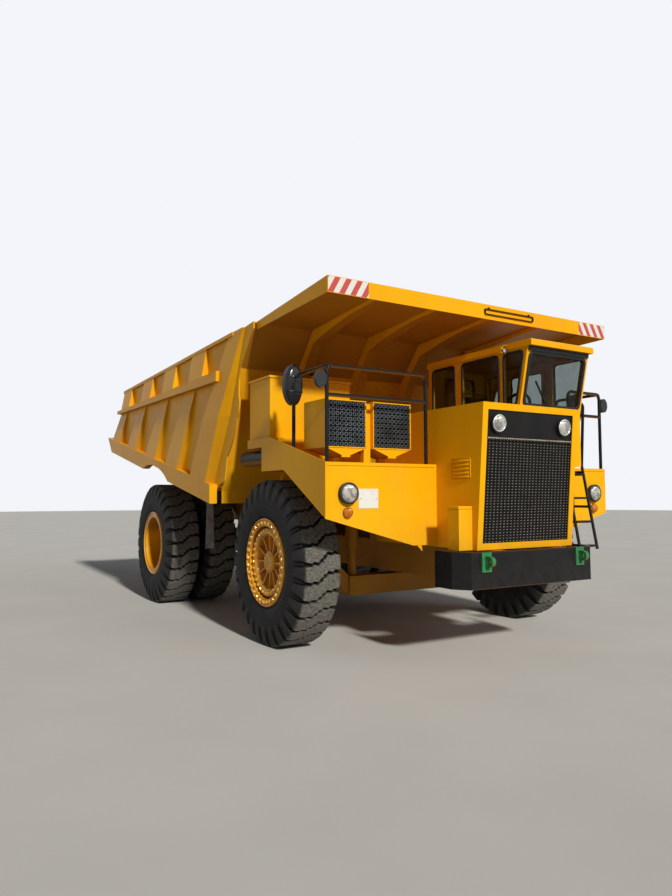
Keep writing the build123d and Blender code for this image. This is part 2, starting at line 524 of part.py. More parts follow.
# Two air cleaners: square box, dust funnel and outlet stub each
CLEANER_WIDTH = 480.0
CLEANER_CENTRES_X = (-1660.0, -1100.0)
CLEANER_FRONT_Y = FRONT_AXLE_Y - 1170.0
CLEANER_DEPTH = 420.0
CLEANER_BOTTOM_Z = 2105.0
CLEANER_TOP_Z = 2585.0
with BuildPart() as air_cleaners:
    for x in CLEANER_CENTRES_X:
        block(x - CLEANER_WIDTH / 2, x + CLEANER_WIDTH / 2, CLEANER_FRONT_Y,
              CLEANER_FRONT_Y + CLEANER_DEPTH, CLEANER_BOTTOM_Z, CLEANER_TOP_Z)
        with BuildSketch(Plane.XY.offset(CLEANER_BOTTOM_Z)) as mouth:
            with Locations((x, CLEANER_FRONT_Y + CLEANER_DEPTH / 2)):
                Rectangle(CLEANER_WIDTH - 20, CLEANER_DEPTH - 20)
        with BuildSketch(Plane.XY.offset(CLEANER_BOTTOM_Z - 90)) as neck:
            with Locations((x, CLEANER_FRONT_Y + CLEANER_DEPTH / 2)):
                Rectangle(70, 70)
        loft(mouth.sketch.faces() + neck.sketch.faces())
        block(x - 35, x + 35, CLEANER_FRONT_Y + CLEANER_DEPTH / 2 - 35,
              CLEANER_FRONT_Y + CLEANER_DEPTH / 2 + 35, DECK_Z, CLEANER_BOTTOM_Z - 80)
    block(CLEANER_CENTRES_X[0] + CLEANER_WIDTH / 2, CLEANER_CENTRES_X[1] - CLEANER_WIDTH / 2,
          CLEANER_FRONT_Y + 40, CLEANER_FRONT_Y + 100, DECK_Z, CLEANER_TOP_Z - 20)
save(air_cleaners.part, "air_cleaners")

# Cab shell: floor pan beside the hood, body over it, roof with a visor, leaning windscreen
CAB_OUTLINE = [                     # y, z
    (CAB_FRONT_Y, CAB_FLOOR_Z), (CAB_FRONT_Y, CAB_SILL_Z), (CAB_BROW_Y, CAB_EAVES_Z),
    (CAB_REAR_Y, CAB_EAVES_Z), (CAB_REAR_Y, CAB_FLOOR_Z),
]
CAB_VOID = [
    (CAB_FRONT_Y + CAB_WALL, CAB_FLOOR_Z + CAB_WALL), (CAB_FRONT_Y + CAB_WALL, CAB_SILL_Z),
    (CAB_BROW_Y + CAB_WALL, CAB_EAVES_Z), (CAB_REAR_Y - CAB_WALL, CAB_EAVES_Z),
    (CAB_REAR_Y - CAB_WALL, CAB_FLOOR_Z + CAB_WALL),
]
WINDOW_BOTTOM_Z = CAB_SILL_Z + 60.0
WINDOW_TOP_Z = CAB_EAVES_Z - 40.0
CAB_LEAN = (CAB_FRONT_Y - CAB_BROW_Y) * (WINDOW_TOP_Z - WINDOW_BOTTOM_Z) / (CAB_EAVES_Z - CAB_SILL_Z)
RIGHT_WINDOWS = [                   # front y at the foot and at the head, rear y
    (FRONT_AXLE_Y - 1650, FRONT_AXLE_Y - 1650 - CAB_LEAN, FRONT_AXLE_Y - 1475),
    (FRONT_AXLE_Y - 1395, FRONT_AXLE_Y - 1395, FRONT_AXLE_Y - 795),
    (FRONT_AXLE_Y - 660, FRONT_AXLE_Y - 660, FRONT_AXLE_Y - 255),
]
LEFT_WINDOWS = [
    (FRONT_AXLE_Y - 1640, FRONT_AXLE_Y - 1640 - CAB_LEAN, FRONT_AXLE_Y - 1330),
    (FRONT_AXLE_Y - 490, FRONT_AXLE_Y - 490, FRONT_AXLE_Y - 245),
]
SCREEN_LEAN = atan2(CAB_FRONT_Y - CAB_BROW_Y, CAB_EAVES_Z - CAB_SILL_Z)
SCREEN_PLANE = Plane(
    origin=((CAB_RIGHT_X + CAB_LEFT_X) / 2, (CAB_FRONT_Y + CAB_BROW_Y) / 2, (CAB_SILL_Z + CAB_EAVES_Z) / 2),
    x_dir=(1, 0, 0), z_dir=(0, -cos(SCREEN_LEAN), -sin(SCREEN_LEAN)))
SCREEN_WIDTH = CAB_LEFT_X - CAB_RIGHT_X - 100.0
SCREEN_HEIGHT = 560.0
REAR_WINDOW = (520.0, 480.0)
REAR_WINDOW_X = (CAB_RIGHT_X + CAB_LEFT_X) / 2


def side_window(x, window, thickness, mode=Mode.SUBTRACT):
    """Round-cornered block through a cab side, its front edge leaning with the windscreen."""
    foot_y, head_y, rear_y = window
    with BuildSketch(Plane.YZ.offset(x - thickness / 2)) as opening:
        with BuildLine():
            Polyline((foot_y, WINDOW_BOTTOM_Z), (rear_y, WINDOW_BOTTOM_Z), (rear_y, WINDOW_TOP_Z),
                     (head_y, WINDOW_TOP_Z), close=True)
        make_face()
        fillet(opening.vertices(), WINDOW_RADIUS)
    extrude(opening.sketch, amount=thickness, mode=mode)


def windscreen(thickness):
    """Cuts a round-cornered opening through the leaning front."""
    with BuildSketch(SCREEN_PLANE.offset(-thickness / 2)) as opening:
        RectangleRounded(SCREEN_WIDTH, SCREEN_HEIGHT, WINDOW_RADIUS)
    extrude(opening.sketch, amount=thickness, mode=Mode.SUBTRACT)


def rear_window(thickness, mode=Mode.SUBTRACT):
    """Round-cornered block through the cab's rear wall."""
    middle = CAB_REAR_Y - CAB_WALL / 2
    with BuildSketch(Plane(origin=(REAR_WINDOW_X, middle + thickness / 2, (WINDOW_BOTTOM_Z + WINDOW_TOP_Z) / 2),
                           x_dir=(1, 0, 0), z_dir=(0, -1, 0))) as opening:
        RectangleRounded(*REAR_WINDOW, WINDOW_RADIUS)
    extrude(opening.sketch, amount=thickness, mode=mode)


with BuildPart() as cab_shell:
    slab(CAB_OUTLINE, CAB_RIGHT_X, CAB_LEFT_X)
    slab([(CAB_BROW_Y - CAB_VISOR, CAB_EAVES_Z), (CAB_BROW_Y - CAB_VISOR, CAB_ROOF_Z - 15),
          (CAB_BROW_Y - CAB_VISOR + 15, CAB_ROOF_Z), (CAB_REAR_Y + 5, CAB_ROOF_Z),
          (CAB_REAR_Y + 20, CAB_ROOF_Z - 15), (CAB_REAR_Y + 20, CAB_EAVES_Z)],
         CAB_RIGHT_X - 10, CAB_LEFT_X + 10)
    block(CAB_RIGHT_X - 10, HOOD_LEFT_X + CAB_HOOD_GAP, CAB_FRONT_Y - 200, CAB_REAR_Y + 100,
          CAB_FLOOR_Z - 10, HOOD_TOP_Z + CAB_HOOD_GAP, Mode.SUBTRACT)
    slab(CAB_VOID, HOOD_LEFT_X + CAB_HOOD_GAP + CAB_WALL, CAB_LEFT_X - CAB_WALL, Mode.SUBTRACT)
    slab([(y, max(z, HOOD_TOP_Z + CAB_HOOD_GAP + CAB_WALL)) for y, z in CAB_VOID[1:]],
         CAB_RIGHT_X + CAB_WALL, CAB_LEFT_X - CAB_WALL, Mode.SUBTRACT)
    for window in RIGHT_WINDOWS:
        side_window(CAB_RIGHT_X + CAB_WALL / 2, window, 2 * CAB_WALL)
    for window in LEFT_WINDOWS:
        side_window(CAB_LEFT_X - CAB_WALL / 2, window, 2 * CAB_WALL)
    windscreen(4 * CAB_WALL)
    rear_window(2 * CAB_WALL)
    block(CAB_LEFT_X - 2 * CAB_WALL, CAB_LEFT_X + CAB_WALL, DOOR_FRONT_Y, DOOR_REAR_Y,
          DOOR_BOTTOM_Z, DOOR_TOP_Z, Mode.SUBTRACT)
    for z in HINGES_Z:
        for end in (-1, 1):
            z0, z1 = z + end * (HINGE_HALF + 1), z + end * (HINGE_HALF + 26)
            bar((HINGE_X, HINGE_Y, z0), (HINGE_X, HINGE_Y, z1), HINGE_DIAMETER)
            block(CAB_LEFT_X, HINGE_X, HINGE_Y + 3, HINGE_Y + 60, z0, z1)
        bar((HINGE_X, HINGE_Y, z - HINGE_HALF - 10), (HINGE_X, HINGE_Y, z + HINGE_HALF + 10), HINGE_PIN)
save(cab_shell.part, "cab_shell")

# Fixed panes, each held in the middle of its wall
with BuildPart() as cab_glass:
    for window in RIGHT_WINDOWS:
        side_window(CAB_RIGHT_X + CAB_WALL / 2, window, GLASS_THICKNESS, Mode.ADD)
    for window in LEFT_WINDOWS:
        side_window(CAB_LEFT_X - CAB_WALL / 2, window, GLASS_THICKNESS, Mode.ADD)
    with BuildSketch(SCREEN_PLANE.offset(-CAB_WALL / 2)) as screen_pane:
        RectangleRounded(SCREEN_WIDTH, SCREEN_HEIGHT, WINDOW_RADIUS)
    extrude(screen_pane.sketch, amount=GLASS_THICKNESS)
    rear_window(GLASS_THICKNESS, Mode.ADD)
save(cab_glass.part, "cab_glass")

# Left door, hinged at its rear edge
DOOR_WINDOW_BOTTOM_Z = CAB_SILL_Z - 20.0
DOOR_FRAME = 75.0
with BuildPart() as cab_door:
    block(CAB_LEFT_X - CAB_WALL, CAB_LEFT_X, DOOR_FRONT_Y + DOOR_GAP, DOOR_REAR_Y - DOOR_GAP,
          DOOR_BOTTOM_Z + DOOR_GAP, DOOR_TOP_Z - DOOR_GAP)
    with BuildSketch(Plane.YZ.offset(CAB_LEFT_X - 2 * CAB_WALL)) as door_opening:
        with Locations(((DOOR_FRONT_Y + DOOR_REAR_Y) / 2, (DOOR_WINDOW_BOTTOM_Z + DOOR_TOP_Z - DOOR_FRAME) / 2)):
            RectangleRounded(DOOR_REAR_Y - DOOR_FRONT_Y - 2 * DOOR_FRAME,
                             DOOR_TOP_Z - DOOR_FRAME - DOOR_WINDOW_BOTTOM_Z, WINDOW_RADIUS)
    extrude(door_opening.sketch, amount=3 * CAB_WALL, mode=Mode.SUBTRACT)
    for z in HINGES_Z:
        block(CAB_LEFT_X, HINGE_X - 4, HINGE_Y - 90, HINGE_Y, z - HINGE_HALF, z + HINGE_HALF)
        bar((HINGE_X, HINGE_Y, z - HINGE_HALF), (HINGE_X, HINGE_Y, z + HINGE_HALF), HINGE_DIAMETER)
        bar((HINGE_X, HINGE_Y, z - HINGE_HALF), (HINGE_X, HINGE_Y, z + HINGE_HALF),
            HINGE_PIN + 2 * RUNNING_GAP, Mode.SUBTRACT)
save(cab_door.part, "cab_door")

with BuildPart() as door_glass:
    with BuildSketch(Plane.YZ.offset(CAB_LEFT_X - CAB_WALL / 2 - GLASS_THICKNESS / 2)) as door_pane:
        with Locations(((DOOR_FRONT_Y + DOOR_REAR_Y) / 2, (DOOR_WINDOW_BOTTOM_Z + DOOR_TOP_Z - DOOR_FRAME) / 2)):
            RectangleRounded(DOOR_REAR_Y - DOOR_FRONT_Y - 2 * DOOR_FRAME,
                             DOOR_TOP_Z - DOOR_FRAME - DOOR_WINDOW_BOTTOM_Z, WINDOW_RADIUS)
    extrude(door_pane.sketch, amount=GLASS_THICKNESS)
save(door_glass.part, "door_glass")

# Seat on a pedestal
SEAT_X = (HOOD_LEFT_X + CAB_LEFT_X) / 2 + 20.0
SEAT_Y = FRONT_AXLE_Y - 620.0
SEAT_BASE_Z = CAB_FLOOR_Z + CAB_WALL
PEDESTAL = (190.0, 320.0)               # half width, height
CUSHION = (250.0, 260.0, 250.0, 120.0)  # half width, ahead of and behind the middle, thickness
BACKREST_HALF_WIDTH = 240.0
BACKREST = [(150, 430), (260, 430), (330, 950), (230, 950)]     # behind the middle, above the cab's floor
with BuildPart() as seat:
    half, height = PEDESTAL
    block(SEAT_X - half, SEAT_X + half, SEAT_Y - half, SEAT_Y + half, SEAT_BASE_Z, SEAT_BASE_Z + height)
    block(SEAT_X - CUSHION[0], SEAT_X + CUSHION[0], SEAT_Y - CUSHION[1], SEAT_Y + CUSHION[2],
          SEAT_BASE_Z + height, SEAT_BASE_Z + height + CUSHION[3])
    slab([(SEAT_Y + y, SEAT_BASE_Z + z) for y, z in BACKREST],
         SEAT_X - BACKREST_HALF_WIDTH, SEAT_X + BACKREST_HALF_WIDTH)
save(seat.part, "seat")

# Steering column with its wheel, and the dash
DASH = (130.0, 350.0)               # depth, bottom above the cab's floor
COLUMN_DIAMETER = 50.0
COLUMN_FOOT = (CAB_FRONT_Y + CAB_WALL + 60.0, 2350.0)       # y, z
COLUMN_HEAD = (SEAT_Y - 480.0, 2640.0)
WHEEL_RADIUS = 220.0
WHEEL_RING = 25.0
WHEEL_SPOKE = (400.0, 40.0)
with BuildPart() as steering_column:
    block(HOOD_LEFT_X + CAB_HOOD_GAP + CAB_WALL, CAB_LEFT_X - CAB_WALL, CAB_FRONT_Y + CAB_WALL,
          CAB_FRONT_Y + CAB_WALL + DASH[0], SEAT_BASE_Z + DASH[1], CAB_SILL_Z)
    bar((SEAT_X, *COLUMN_FOOT), (SEAT_X, *COLUMN_HEAD), COLUMN_DIAMETER)
    column_line = (0, COLUMN_HEAD[0] - COLUMN_FOOT[0], COLUMN_HEAD[1] - COLUMN_FOOT[1])
    with BuildSketch(Plane(origin=(SEAT_X, *COLUMN_HEAD), z_dir=column_line)) as wheel_ring:
        Circle(WHEEL_RADIUS)
        Circle(WHEEL_RADIUS - WHEEL_RING, mode=Mode.SUBTRACT)
        Rectangle(*WHEEL_SPOKE)
        Rectangle(*WHEEL_SPOKE[::-1])
    extrude(wheel_ring.sketch, amount=WHEEL_RING)
save(steering_column.part, "steering_column")

# Handrails over both decks: front rails, posts and a return to the mirror post
RAIL_TUBE = 38.0
RAIL_BEND = 60.0
RAIL_Y = FENDER_FRONT_Y + 30.0
RAIL_OUT_X = 1965.0
RAIL_IN_X = {-1: HOOD_HALF_WIDTH + 110.0, 1: CAB_LEFT_X + 240.0}
RAIL_HIGH_Z = 2880.0
RAIL_MID_Z = 2600.0
RETURN_Y = FRONT_AXLE_Y - 645.0
with BuildPart() as handrails:
    for side in (-1, 1):
        near, far = side * RAIL_IN_X[side], side * RAIL_OUT_X
        tube_run([(near, RAIL_Y, DECK_Z), (near, RAIL_Y, RAIL_HIGH_Z), (far, RAIL_Y, RAIL_HIGH_Z),
                  (far, RETURN_Y, RAIL_HIGH_Z), (far, RETURN_Y, DECK_Z)], RAIL_TUBE, RAIL_BEND)
        bar((far, RAIL_Y, DECK_Z), (far, RAIL_Y, RAIL_HIGH_Z - RAIL_BEND), RAIL_TUBE)
        bar((far, RAIL_Y, RAIL_HIGH_Z - RAIL_BEND), (far - side * 25, RAIL_Y, RAIL_HIGH_Z), RAIL_TUBE)
        bar((far, RAIL_Y, RAIL_MID_Z), (near, RAIL_Y, RAIL_MID_Z), RAIL_TUBE)
save(handrails.part, "handrails")

# Mirrors: a tall oval head on each mirror post and a small one on each corner post
MIRROR_X = 2080.0
MIRROR_Z = 2745.0
MIRROR_Y = FRONT_AXLE_Y - 800.0
MIRROR_HALF = (100.0, 205.0)
SMALL_MIRROR_HALF = (60.0, 85.0)
MIRROR_DEPTH = 60.0
ARM_DIAMETER = 26.0
ARMS_Z = (MIRROR_Z - 110.0, MIRROR_Z + 45.0)
with BuildPart() as mirrors:
    for side in (-1, 1):
        with BuildSketch(Plane(origin=(side * MIRROR_X, MIRROR_Y, MIRROR_Z), x_dir=(1, 0, 0), z_dir=(0, -1, 0))):
            Ellipse(*MIRROR_HALF)
        extrude(amount=MIRROR_DEPTH)
        for z in ARMS_Z:
            bar((side * RAIL_OUT_X, RETURN_Y, z), (side * (MIRROR_X - 30), MIRROR_Y - 20, z), ARM_DIAMETER)
        bar((side * RAIL_OUT_X, RAIL_Y, MIRROR_Z), (side * (RAIL_OUT_X + 75), RAIL_Y, MIRROR_Z), ARM_DIAMETER)
        with BuildSketch(Plane(origin=(side * (RAIL_OUT_X + 70), RAIL_Y + 25, MIRROR_Z), x_dir=(1, 0, 0),
                               z_dir=(0, -1, 0))):
            Ellipse(*SMALL_MIRROR_HALF)
        extrude(amount=45)
        for y in (RETURN_Y, RAIL_Y):
            bar((side * RAIL_OUT_X, y, RAIL_MID_Z), (side * RAIL_OUT_X, y, RAIL_HIGH_Z - RAIL_BEND),
                RAIL_TUBE + 2 * RUNNING_GAP, Mode.SUBTRACT)
save(mirrors.part, "mirrors")

# Ladder ahead of the left fender: two leaning rails, steps and brackets back to the fender
LADDER_X = (CAB_LEFT_X - 50.0, RAIL_IN_X[1])
LADDER_FOOT = (FRONT_AXLE_Y - 1690.0, 1020.0)
LADDER_KNEE = (FRONT_AXLE_Y - 1500.0, 1975.0)
LADDER_TUBE = 34.0
LADDER_HEAD = (LADDER_KNEE[0] - 10.0, 1930.0)      # of the inner rail, under the cab
LADDER_HAND_Z = 2700.0
STEPS_Z = (1060.0, 1330.0, 1600.0, 1870.0)
with BuildPart() as ladder:
    tube_run([(LADDER_X[0], *LADDER_FOOT), (LADDER_X[0], *LADDER_HEAD)], LADDER_TUBE, 0)
    tube_run([(LADDER_X[1], *LADDER_FOOT), (LADDER_X[1], *LADDER_KNEE),
              (LADDER_X[1], LADDER_KNEE[0] - 40, LADDER_HAND_Z),
              (LADDER_X[1], RAIL_Y, LADDER_HAND_Z + 80)], LADDER_TUBE, RAIL_BEND)
    for z in STEPS_Z:
        share = (z - LADDER_FOOT[1]) / (LADDER_KNEE[1] - LADDER_FOOT[1])
        y = LADDER_FOOT[0] + share * (LADDER_KNEE[0] - LADDER_FOOT[0])
        block(LADDER_X[0], LADDER_X[1], y - 20, y + 90, z - 12, z + 12)
    for x in LADDER_X:
        bar((x, LADDER_KNEE[0] - 15, LADDER_KNEE[1] - 75), (x, FENDER_FRONT_Y, LADDER_KNEE[1] - 75), 30)
    for x in LADDER_X:
        bar((x, LADDER_FOOT[0] + 95, 1500), (x, FENDER_FRONT_Y, 1500), 30)
    bar((LADDER_X[1], RAIL_Y, RAIL_MID_Z), (LADDER_X[1], RAIL_Y, RAIL_HIGH_Z - RAIL_BEND),
        RAIL_TUBE + 2 * RUNNING_GAP, Mode.SUBTRACT)
save(ladder.part, "ladder")

# Lamps: two in the header, two in the fender fronts with an amber one below each
LAMP_DIAMETER = 185.0
LAMP_DEPTH = 34.0
HEADER_LAMP_X = 460.0
HEADER_LAMP_Z = 2335.0
HEADLIGHT = (1760.0, 1657.0, 200.0, 45.0)   # x, z, diameter, depth
INDICATOR = (1760.0, 1475.0, 90.0, 30.0)
HOUSING_LEAN = atan2(HOOD_BOTTOM_Y - HOOD_TOP_Y, HOOD_TOP_Z - HOOD_BOTTOM_Z)
with BuildPart() as lamps:
    for side in (-1, 1):
        for x, z, diameter, depth in (HEADLIGHT, INDICATOR):
            bar((side * x, FENDER_FRONT_Y - depth, z), (side * x, FENDER_FRONT_Y, z), diameter)
        lamp_y = hood_front_y(HEADER_LAMP_Z) + HEADER_RECESS
        bar((side * HEADER_LAMP_X, lamp_y, HEADER_LAMP_Z),
            (side * HEADER_LAMP_X, lamp_y - LAMP_DEPTH * cos(HOUSING_LEAN),
             HEADER_LAMP_Z - LAMP_DEPTH * sin(HOUSING_LEAN)), LAMP_DIAMETER)
save(lamps.part, "lamps")

# Front axle: dropped beam with kingpin bosses
BEAM_HALF = (950.0, 110.0)          # length, width
BEAM_Z = (480.0, 700.0)
BEAM_END_HALF_WIDTH = 85.0
BEAM_END = [                        # x, z
    (BEAM_HALF[0] - 10, BEAM_Z[0]), (BEAM_HALF[0] - 10, BEAM_Z[1]), (KINGPIN_X - 120, AXLE_Z + 100),
    (KINGPIN_X, AXLE_Z + 100), (KINGPIN_X, AXLE_Z - 110), (KINGPIN_X - 120, AXLE_Z - 110),
]
with BuildPart() as front_axle:
    block(-BEAM_HALF[0], BEAM_HALF[0], FRONT_AXLE_Y - BEAM_HALF[1], FRONT_AXLE_Y + BEAM_HALF[1], *BEAM_Z)
    for side in (-1, 1):
        panel([(side * x, z) for x, z in BEAM_END],
              FRONT_AXLE_Y - BEAM_END_HALF_WIDTH, FRONT_AXLE_Y + BEAM_END_HALF_WIDTH)
        bar((side * KINGPIN_X, FRONT_AXLE_Y, AXLE_Z - KINGPIN_BOSS_HEIGHT / 2),
            (side * KINGPIN_X, FRONT_AXLE_Y, AXLE_Z + KINGPIN_BOSS_HEIGHT / 2), KINGPIN_BOSS_DIAMETER)
        bar((side * KINGPIN_X, FRONT_AXLE_Y, AXLE_Z - KINGPIN_BOSS_HEIGHT / 2 - KNUCKLE_ARM_HEIGHT - 10),
            (side * KINGPIN_X, FRONT_AXLE_Y, AXLE_Z + KINGPIN_BOSS_HEIGHT / 2 + KNUCKLE_ARM_HEIGHT + 10),
            KINGPIN_DIAMETER)
save(front_axle.part, "front_axle")

# Steering knuckle: fork round the boss, web, spindle and steering arm
KNUCKLE_WEB_X = (KINGPIN_X + 110.0, KINGPIN_X + 170.0)
KNUCKLE_HALF_WIDTH = 95.0
HUB_FACE_X = FRONT_TRACK / 2 + 150.0
with BuildPart() as knuckle:
    arm_gap = KINGPIN_BOSS_HEIGHT / 2 + SIDE_GAP
    for up in (-1, 1):
        z0 = AXLE_Z + up * arm_gap
        z1 = AXLE_Z + up * (KINGPIN_BOSS_HEIGHT / 2 + KNUCKLE_ARM_HEIGHT)
        bar((-KINGPIN_X, FRONT_AXLE_Y, z0), (-KINGPIN_X, FRONT_AXLE_Y, z1), KINGPIN_BOSS_DIAMETER)
        block(-KNUCKLE_WEB_X[1], -KINGPIN_X,
              FRONT_AXLE_Y - KNUCKLE_HALF_WIDTH, FRONT_AXLE_Y + KNUCKLE_HALF_WIDTH,
              z0, z1)
    block(-KNUCKLE_WEB_X[1], -KNUCKLE_WEB_X[0],
          FRONT_AXLE_Y - KNUCKLE_HALF_WIDTH, FRONT_AXLE_Y + KNUCKLE_HALF_WIDTH,
          AXLE_Z - KINGPIN_BOSS_HEIGHT / 2 - KNUCKLE_ARM_HEIGHT,
          AXLE_Z + KINGPIN_BOSS_HEIGHT / 2 + KNUCKLE_ARM_HEIGHT)
    bar((-KNUCKLE_WEB_X[1], FRONT_AXLE_Y, AXLE_Z), (-HUB_FACE_X + 5, FRONT_AXLE_Y, AXLE_Z), SPINDLE_DIAMETER)
    bar((-KINGPIN_X, FRONT_AXLE_Y, AXLE_Z - 250), (-KINGPIN_X, FRONT_AXLE_Y, AXLE_Z + 250),
        KINGPIN_DIAMETER + 2 * RUNNING_GAP, Mode.SUBTRACT)
save(knuckle.part, "knuckle_right")
save_left(knuckle.part, "knuckle_left")

# Rear axle: banjo housing, tubes, spindles and nose
REAR_AXLE_STEPS = [                 # half length, diameter
    (230.0, 600.0), (1010.0, 330.0), (DUAL_TRACK / 2 + 320.0, REAR_SPINDLE_DIAMETER),
]
NOSE_DIAMETER = 260.0
TRAILING_ARM = (380.0, 480.0, 980.0, 60.0)      # x0, x1, length, half height
with BuildPart() as rear_axle:
    for half_length, diameter in REAR_AXLE_STEPS:
        bar((-half_length, REAR_AXLE_Y, AXLE_Z), (half_length, REAR_AXLE_Y, AXLE_Z), diameter)
    bar((0, AXLE_NOSE_Y, AXLE_Z), (0, REAR_AXLE_Y, AXLE_Z), NOSE_DIAMETER)
    for side in (-1, 1):
        x0, x1, length, half_height = TRAILING_ARM
        block(side * x0, side * x1, REAR_AXLE_Y - length, REAR_AXLE_Y,
              AXLE_Z - half_height, AXLE_Z + half_height)
        block(side * (REAR_STRUT_X - 80), side * (REAR_STRUT_X + 80), REAR_AXLE_Y - 80, REAR_AXLE_Y + 80,
              AXLE_Z, AXLE_Z + 200)
save(rear_axle.part, "rear_axle")

# Suspension struts: a rod below and a wider barrel above, between each axle and the frame
STRUTS = [                          # x, y, foot z, head z
    (STRUT_X, FRONT_AXLE_Y, 700.0, STRUT_HEAD_Z),
    (REAR_STRUT_X, REAR_AXLE_Y, AXLE_Z + 200.0, REAR_STRUT_HEAD_Z),
]
STRUT_DIAMETERS = (100.0, 150.0)    # rod, barrel
BARREL_START = 0.4                  # share of the strut below its barrel
with BuildPart() as suspension_struts:
    for side in (-1, 1):
        for x, y, z0, z1 in STRUTS:
            bar((side * x, y, z0), (side * x, y, z1), STRUT_DIAMETERS[0])
            bar((side * x, y, z0 + BARREL_START * (z1 - z0)), (side * x, y, z1), STRUT_DIAMETERS[1])
save(suspension_struts.part, "suspension_struts")

# Tyre: turned section with a flat crown, round shoulders and full side walls
TYRE_R = TYRE_DIAMETER / 2
BEAD_R = RIM_BARREL_DIAMETER / 2 + BEAD_GAP
BEAD_X = RIM_WIDTH / 2 - RIM_LIP - BEAD_GAP
FLANGE_R = RIM_FLANGE_DIAMETER / 2
TYRE_HALF = [                       # offset from the middle, radius
    (BEAD_X - RIM_TAPER, BEAD_R), (BEAD_X, FLANGE_R + 2), (BEAD_X + 14, FLANGE_R + 12),
    (TYRE_WIDTH / 2, 640), (TYRE_WIDTH / 2, 770),
    (TREAD_CROWN_WIDTH / 2 + 18, TYRE_R - 30), (TREAD_CROWN_WIDTH / 2, TYRE_R),
]
TYRE_SECTION = TYRE_HALF + [(-x, r) for x, r in reversed(TYRE_HALF)]
RIM_R = RIM_BARREL_DIAMETER / 2
RIM_HALF = [
    (RIM_WIDTH / 2 - RIM_LIP - RIM_TAPER, RIM_R), (RIM_WIDTH / 2 - RIM_LIP, FLANGE_R),
    (RIM_WIDTH / 2, FLANGE_R), (RIM_WIDTH / 2, RIM_R - RIM_WALL),
]
RIM_BARREL = RIM_HALF + [(-x, r) for x, r in reversed(RIM_HALF)]

with BuildPart() as tyre_front:
    turned(TYRE_SECTION, -FRONT_TRACK / 2, FRONT_AXLE_Y, AXLE_Z)
save(tyre_front.part, "tyre_front_right")
save_left(tyre_front.part, "tyre_front_left")

SPINDLE_R = SPINDLE_DIAMETER / 2 + RUNNING_GAP
HUB_BORE_END = HUB_FACE_X - FRONT_TRACK / 2
FRONT_DISC = [                      # outward offset, radius: gutter, raised bolt ring, dish, hub cap and back
    (105, RIM_R - RIM_WALL + 1), (135, RIM_R - RIM_WALL + 1), (150, 378), (200, 368), (200, 312), (185, 296),
    (110, 272), (110, 130), (172, 120), (185, 100), (185, 0), (HUB_BORE_END, 0), (HUB_BORE_END, SPINDLE_R),
    (-60, SPINDLE_R), (-60, 165), (20, 175), (80, 272), (150, 300), (168, 316), (168, 352), (120, 362), (105, 372),
]
HUB_RIBS = 12
HUB_RIB = [(100, 110), (162, 112), (180, 302), (120, 290), (100, 268)]     # outward offset, radius
HUB_RIB_THICKNESS = 16.0
with BuildPart() as rim_front:
    turned(RIM_BARREL, -FRONT_TRACK / 2, FRONT_AXLE_Y, AXLE_Z)
    turned([(-a, r) for a, r in FRONT_DISC], -FRONT_TRACK / 2, FRONT_AXLE_Y, AXLE_Z)
    for i in range(HUB_RIBS):
        turn = radians(360 / HUB_RIBS * i)
        with BuildSketch(Plane(origin=(-FRONT_TRACK / 2, FRONT_AXLE_Y, AXLE_Z), x_dir=(-1, 0, 0),
                               z_dir=(0, cos(turn), -sin(turn)))) as hub_rib:
            with BuildLine():
                Polyline(*HUB_RIB, close=True)
            make_face()
        extrude(hub_rib.sketch, amount=HUB_RIB_THICKNESS / 2, both=True)
save(rim_front.part, "rim_front_right")
save_left(rim_front.part, "rim_front_left")

with BuildPart() as tyres_rear:
    for offset in (-DUAL_SPACING / 2, DUAL_SPACING / 2):
        turned(TYRE_SECTION, -DUAL_TRACK / 2 + offset, REAR_AXLE_Y, AXLE_Z)
save(tyres_rear.part, "tyres_rear_right")
save_left(tyres_rear.part, "tyres_rear_left")

REAR_R = REAR_SPINDLE_DIAMETER / 2 + RUNNING_GAP
REAR_HUB = [                        # outward offset from the middle of the pair, radius
    (-300, REAR_R), (-300, 250), (120, 250), (120, RIM_R - RIM_WALL + 1), (150, RIM_R - RIM_WALL + 1),
    (150, 230), (230, 210), (230, REAR_R),
]
SPACER_BAND = [(-70, RIM_R - RIM_WALL), (-70, RIM_R), (70, RIM_R), (70, RIM_R - RIM_WALL)]
INNER_DISC = [(-150, 249), (-150, RIM_R - RIM_WALL + 1), (-120, RIM_R - RIM_WALL + 1), (-120, 249)]
with BuildPart() as rims_rear:
    for offset in (-DUAL_SPACING / 2, DUAL_SPACING / 2):
        turned(RIM_BARREL, -DUAL_TRACK / 2 + offset, REAR_AXLE_Y, AXLE_Z)
    for profile in (REAR_HUB, SPACER_BAND, INNER_DISC):
        turned([(-a, r) for a, r in profile], -DUAL_TRACK / 2, REAR_AXLE_Y, AXLE_Z)
save(rims_rear.part, "rims_rear_right")
save_left(rims_rear.part, "rims_rear_left")

# Fuel tank on the left rail, hydraulic tank on the right
SIDE_TANK_Y = (FRONT_AXLE_Y + 1200.0, FRONT_AXLE_Y + 2050.0)
SIDE_TANK_X = 1010.0
SIDE_TANK_Z = (640.0, 1260.0)
SIDE_TANK_RADIUS = 90.0
with BuildPart() as fuel_tank:
    block(RAIL_OUTER_X, SIDE_TANK_X, *SIDE_TANK_Y, *SIDE_TANK_Z)
    fillet(fuel_tank.edges().filter_by(Axis.Y).group_by(Axis.X)[-1], SIDE_TANK_RADIUS)
save(fuel_tank.part, "fuel_tank")
save(mirror(fuel_tank.part, about=Plane.YZ), "hydraulic_tank")

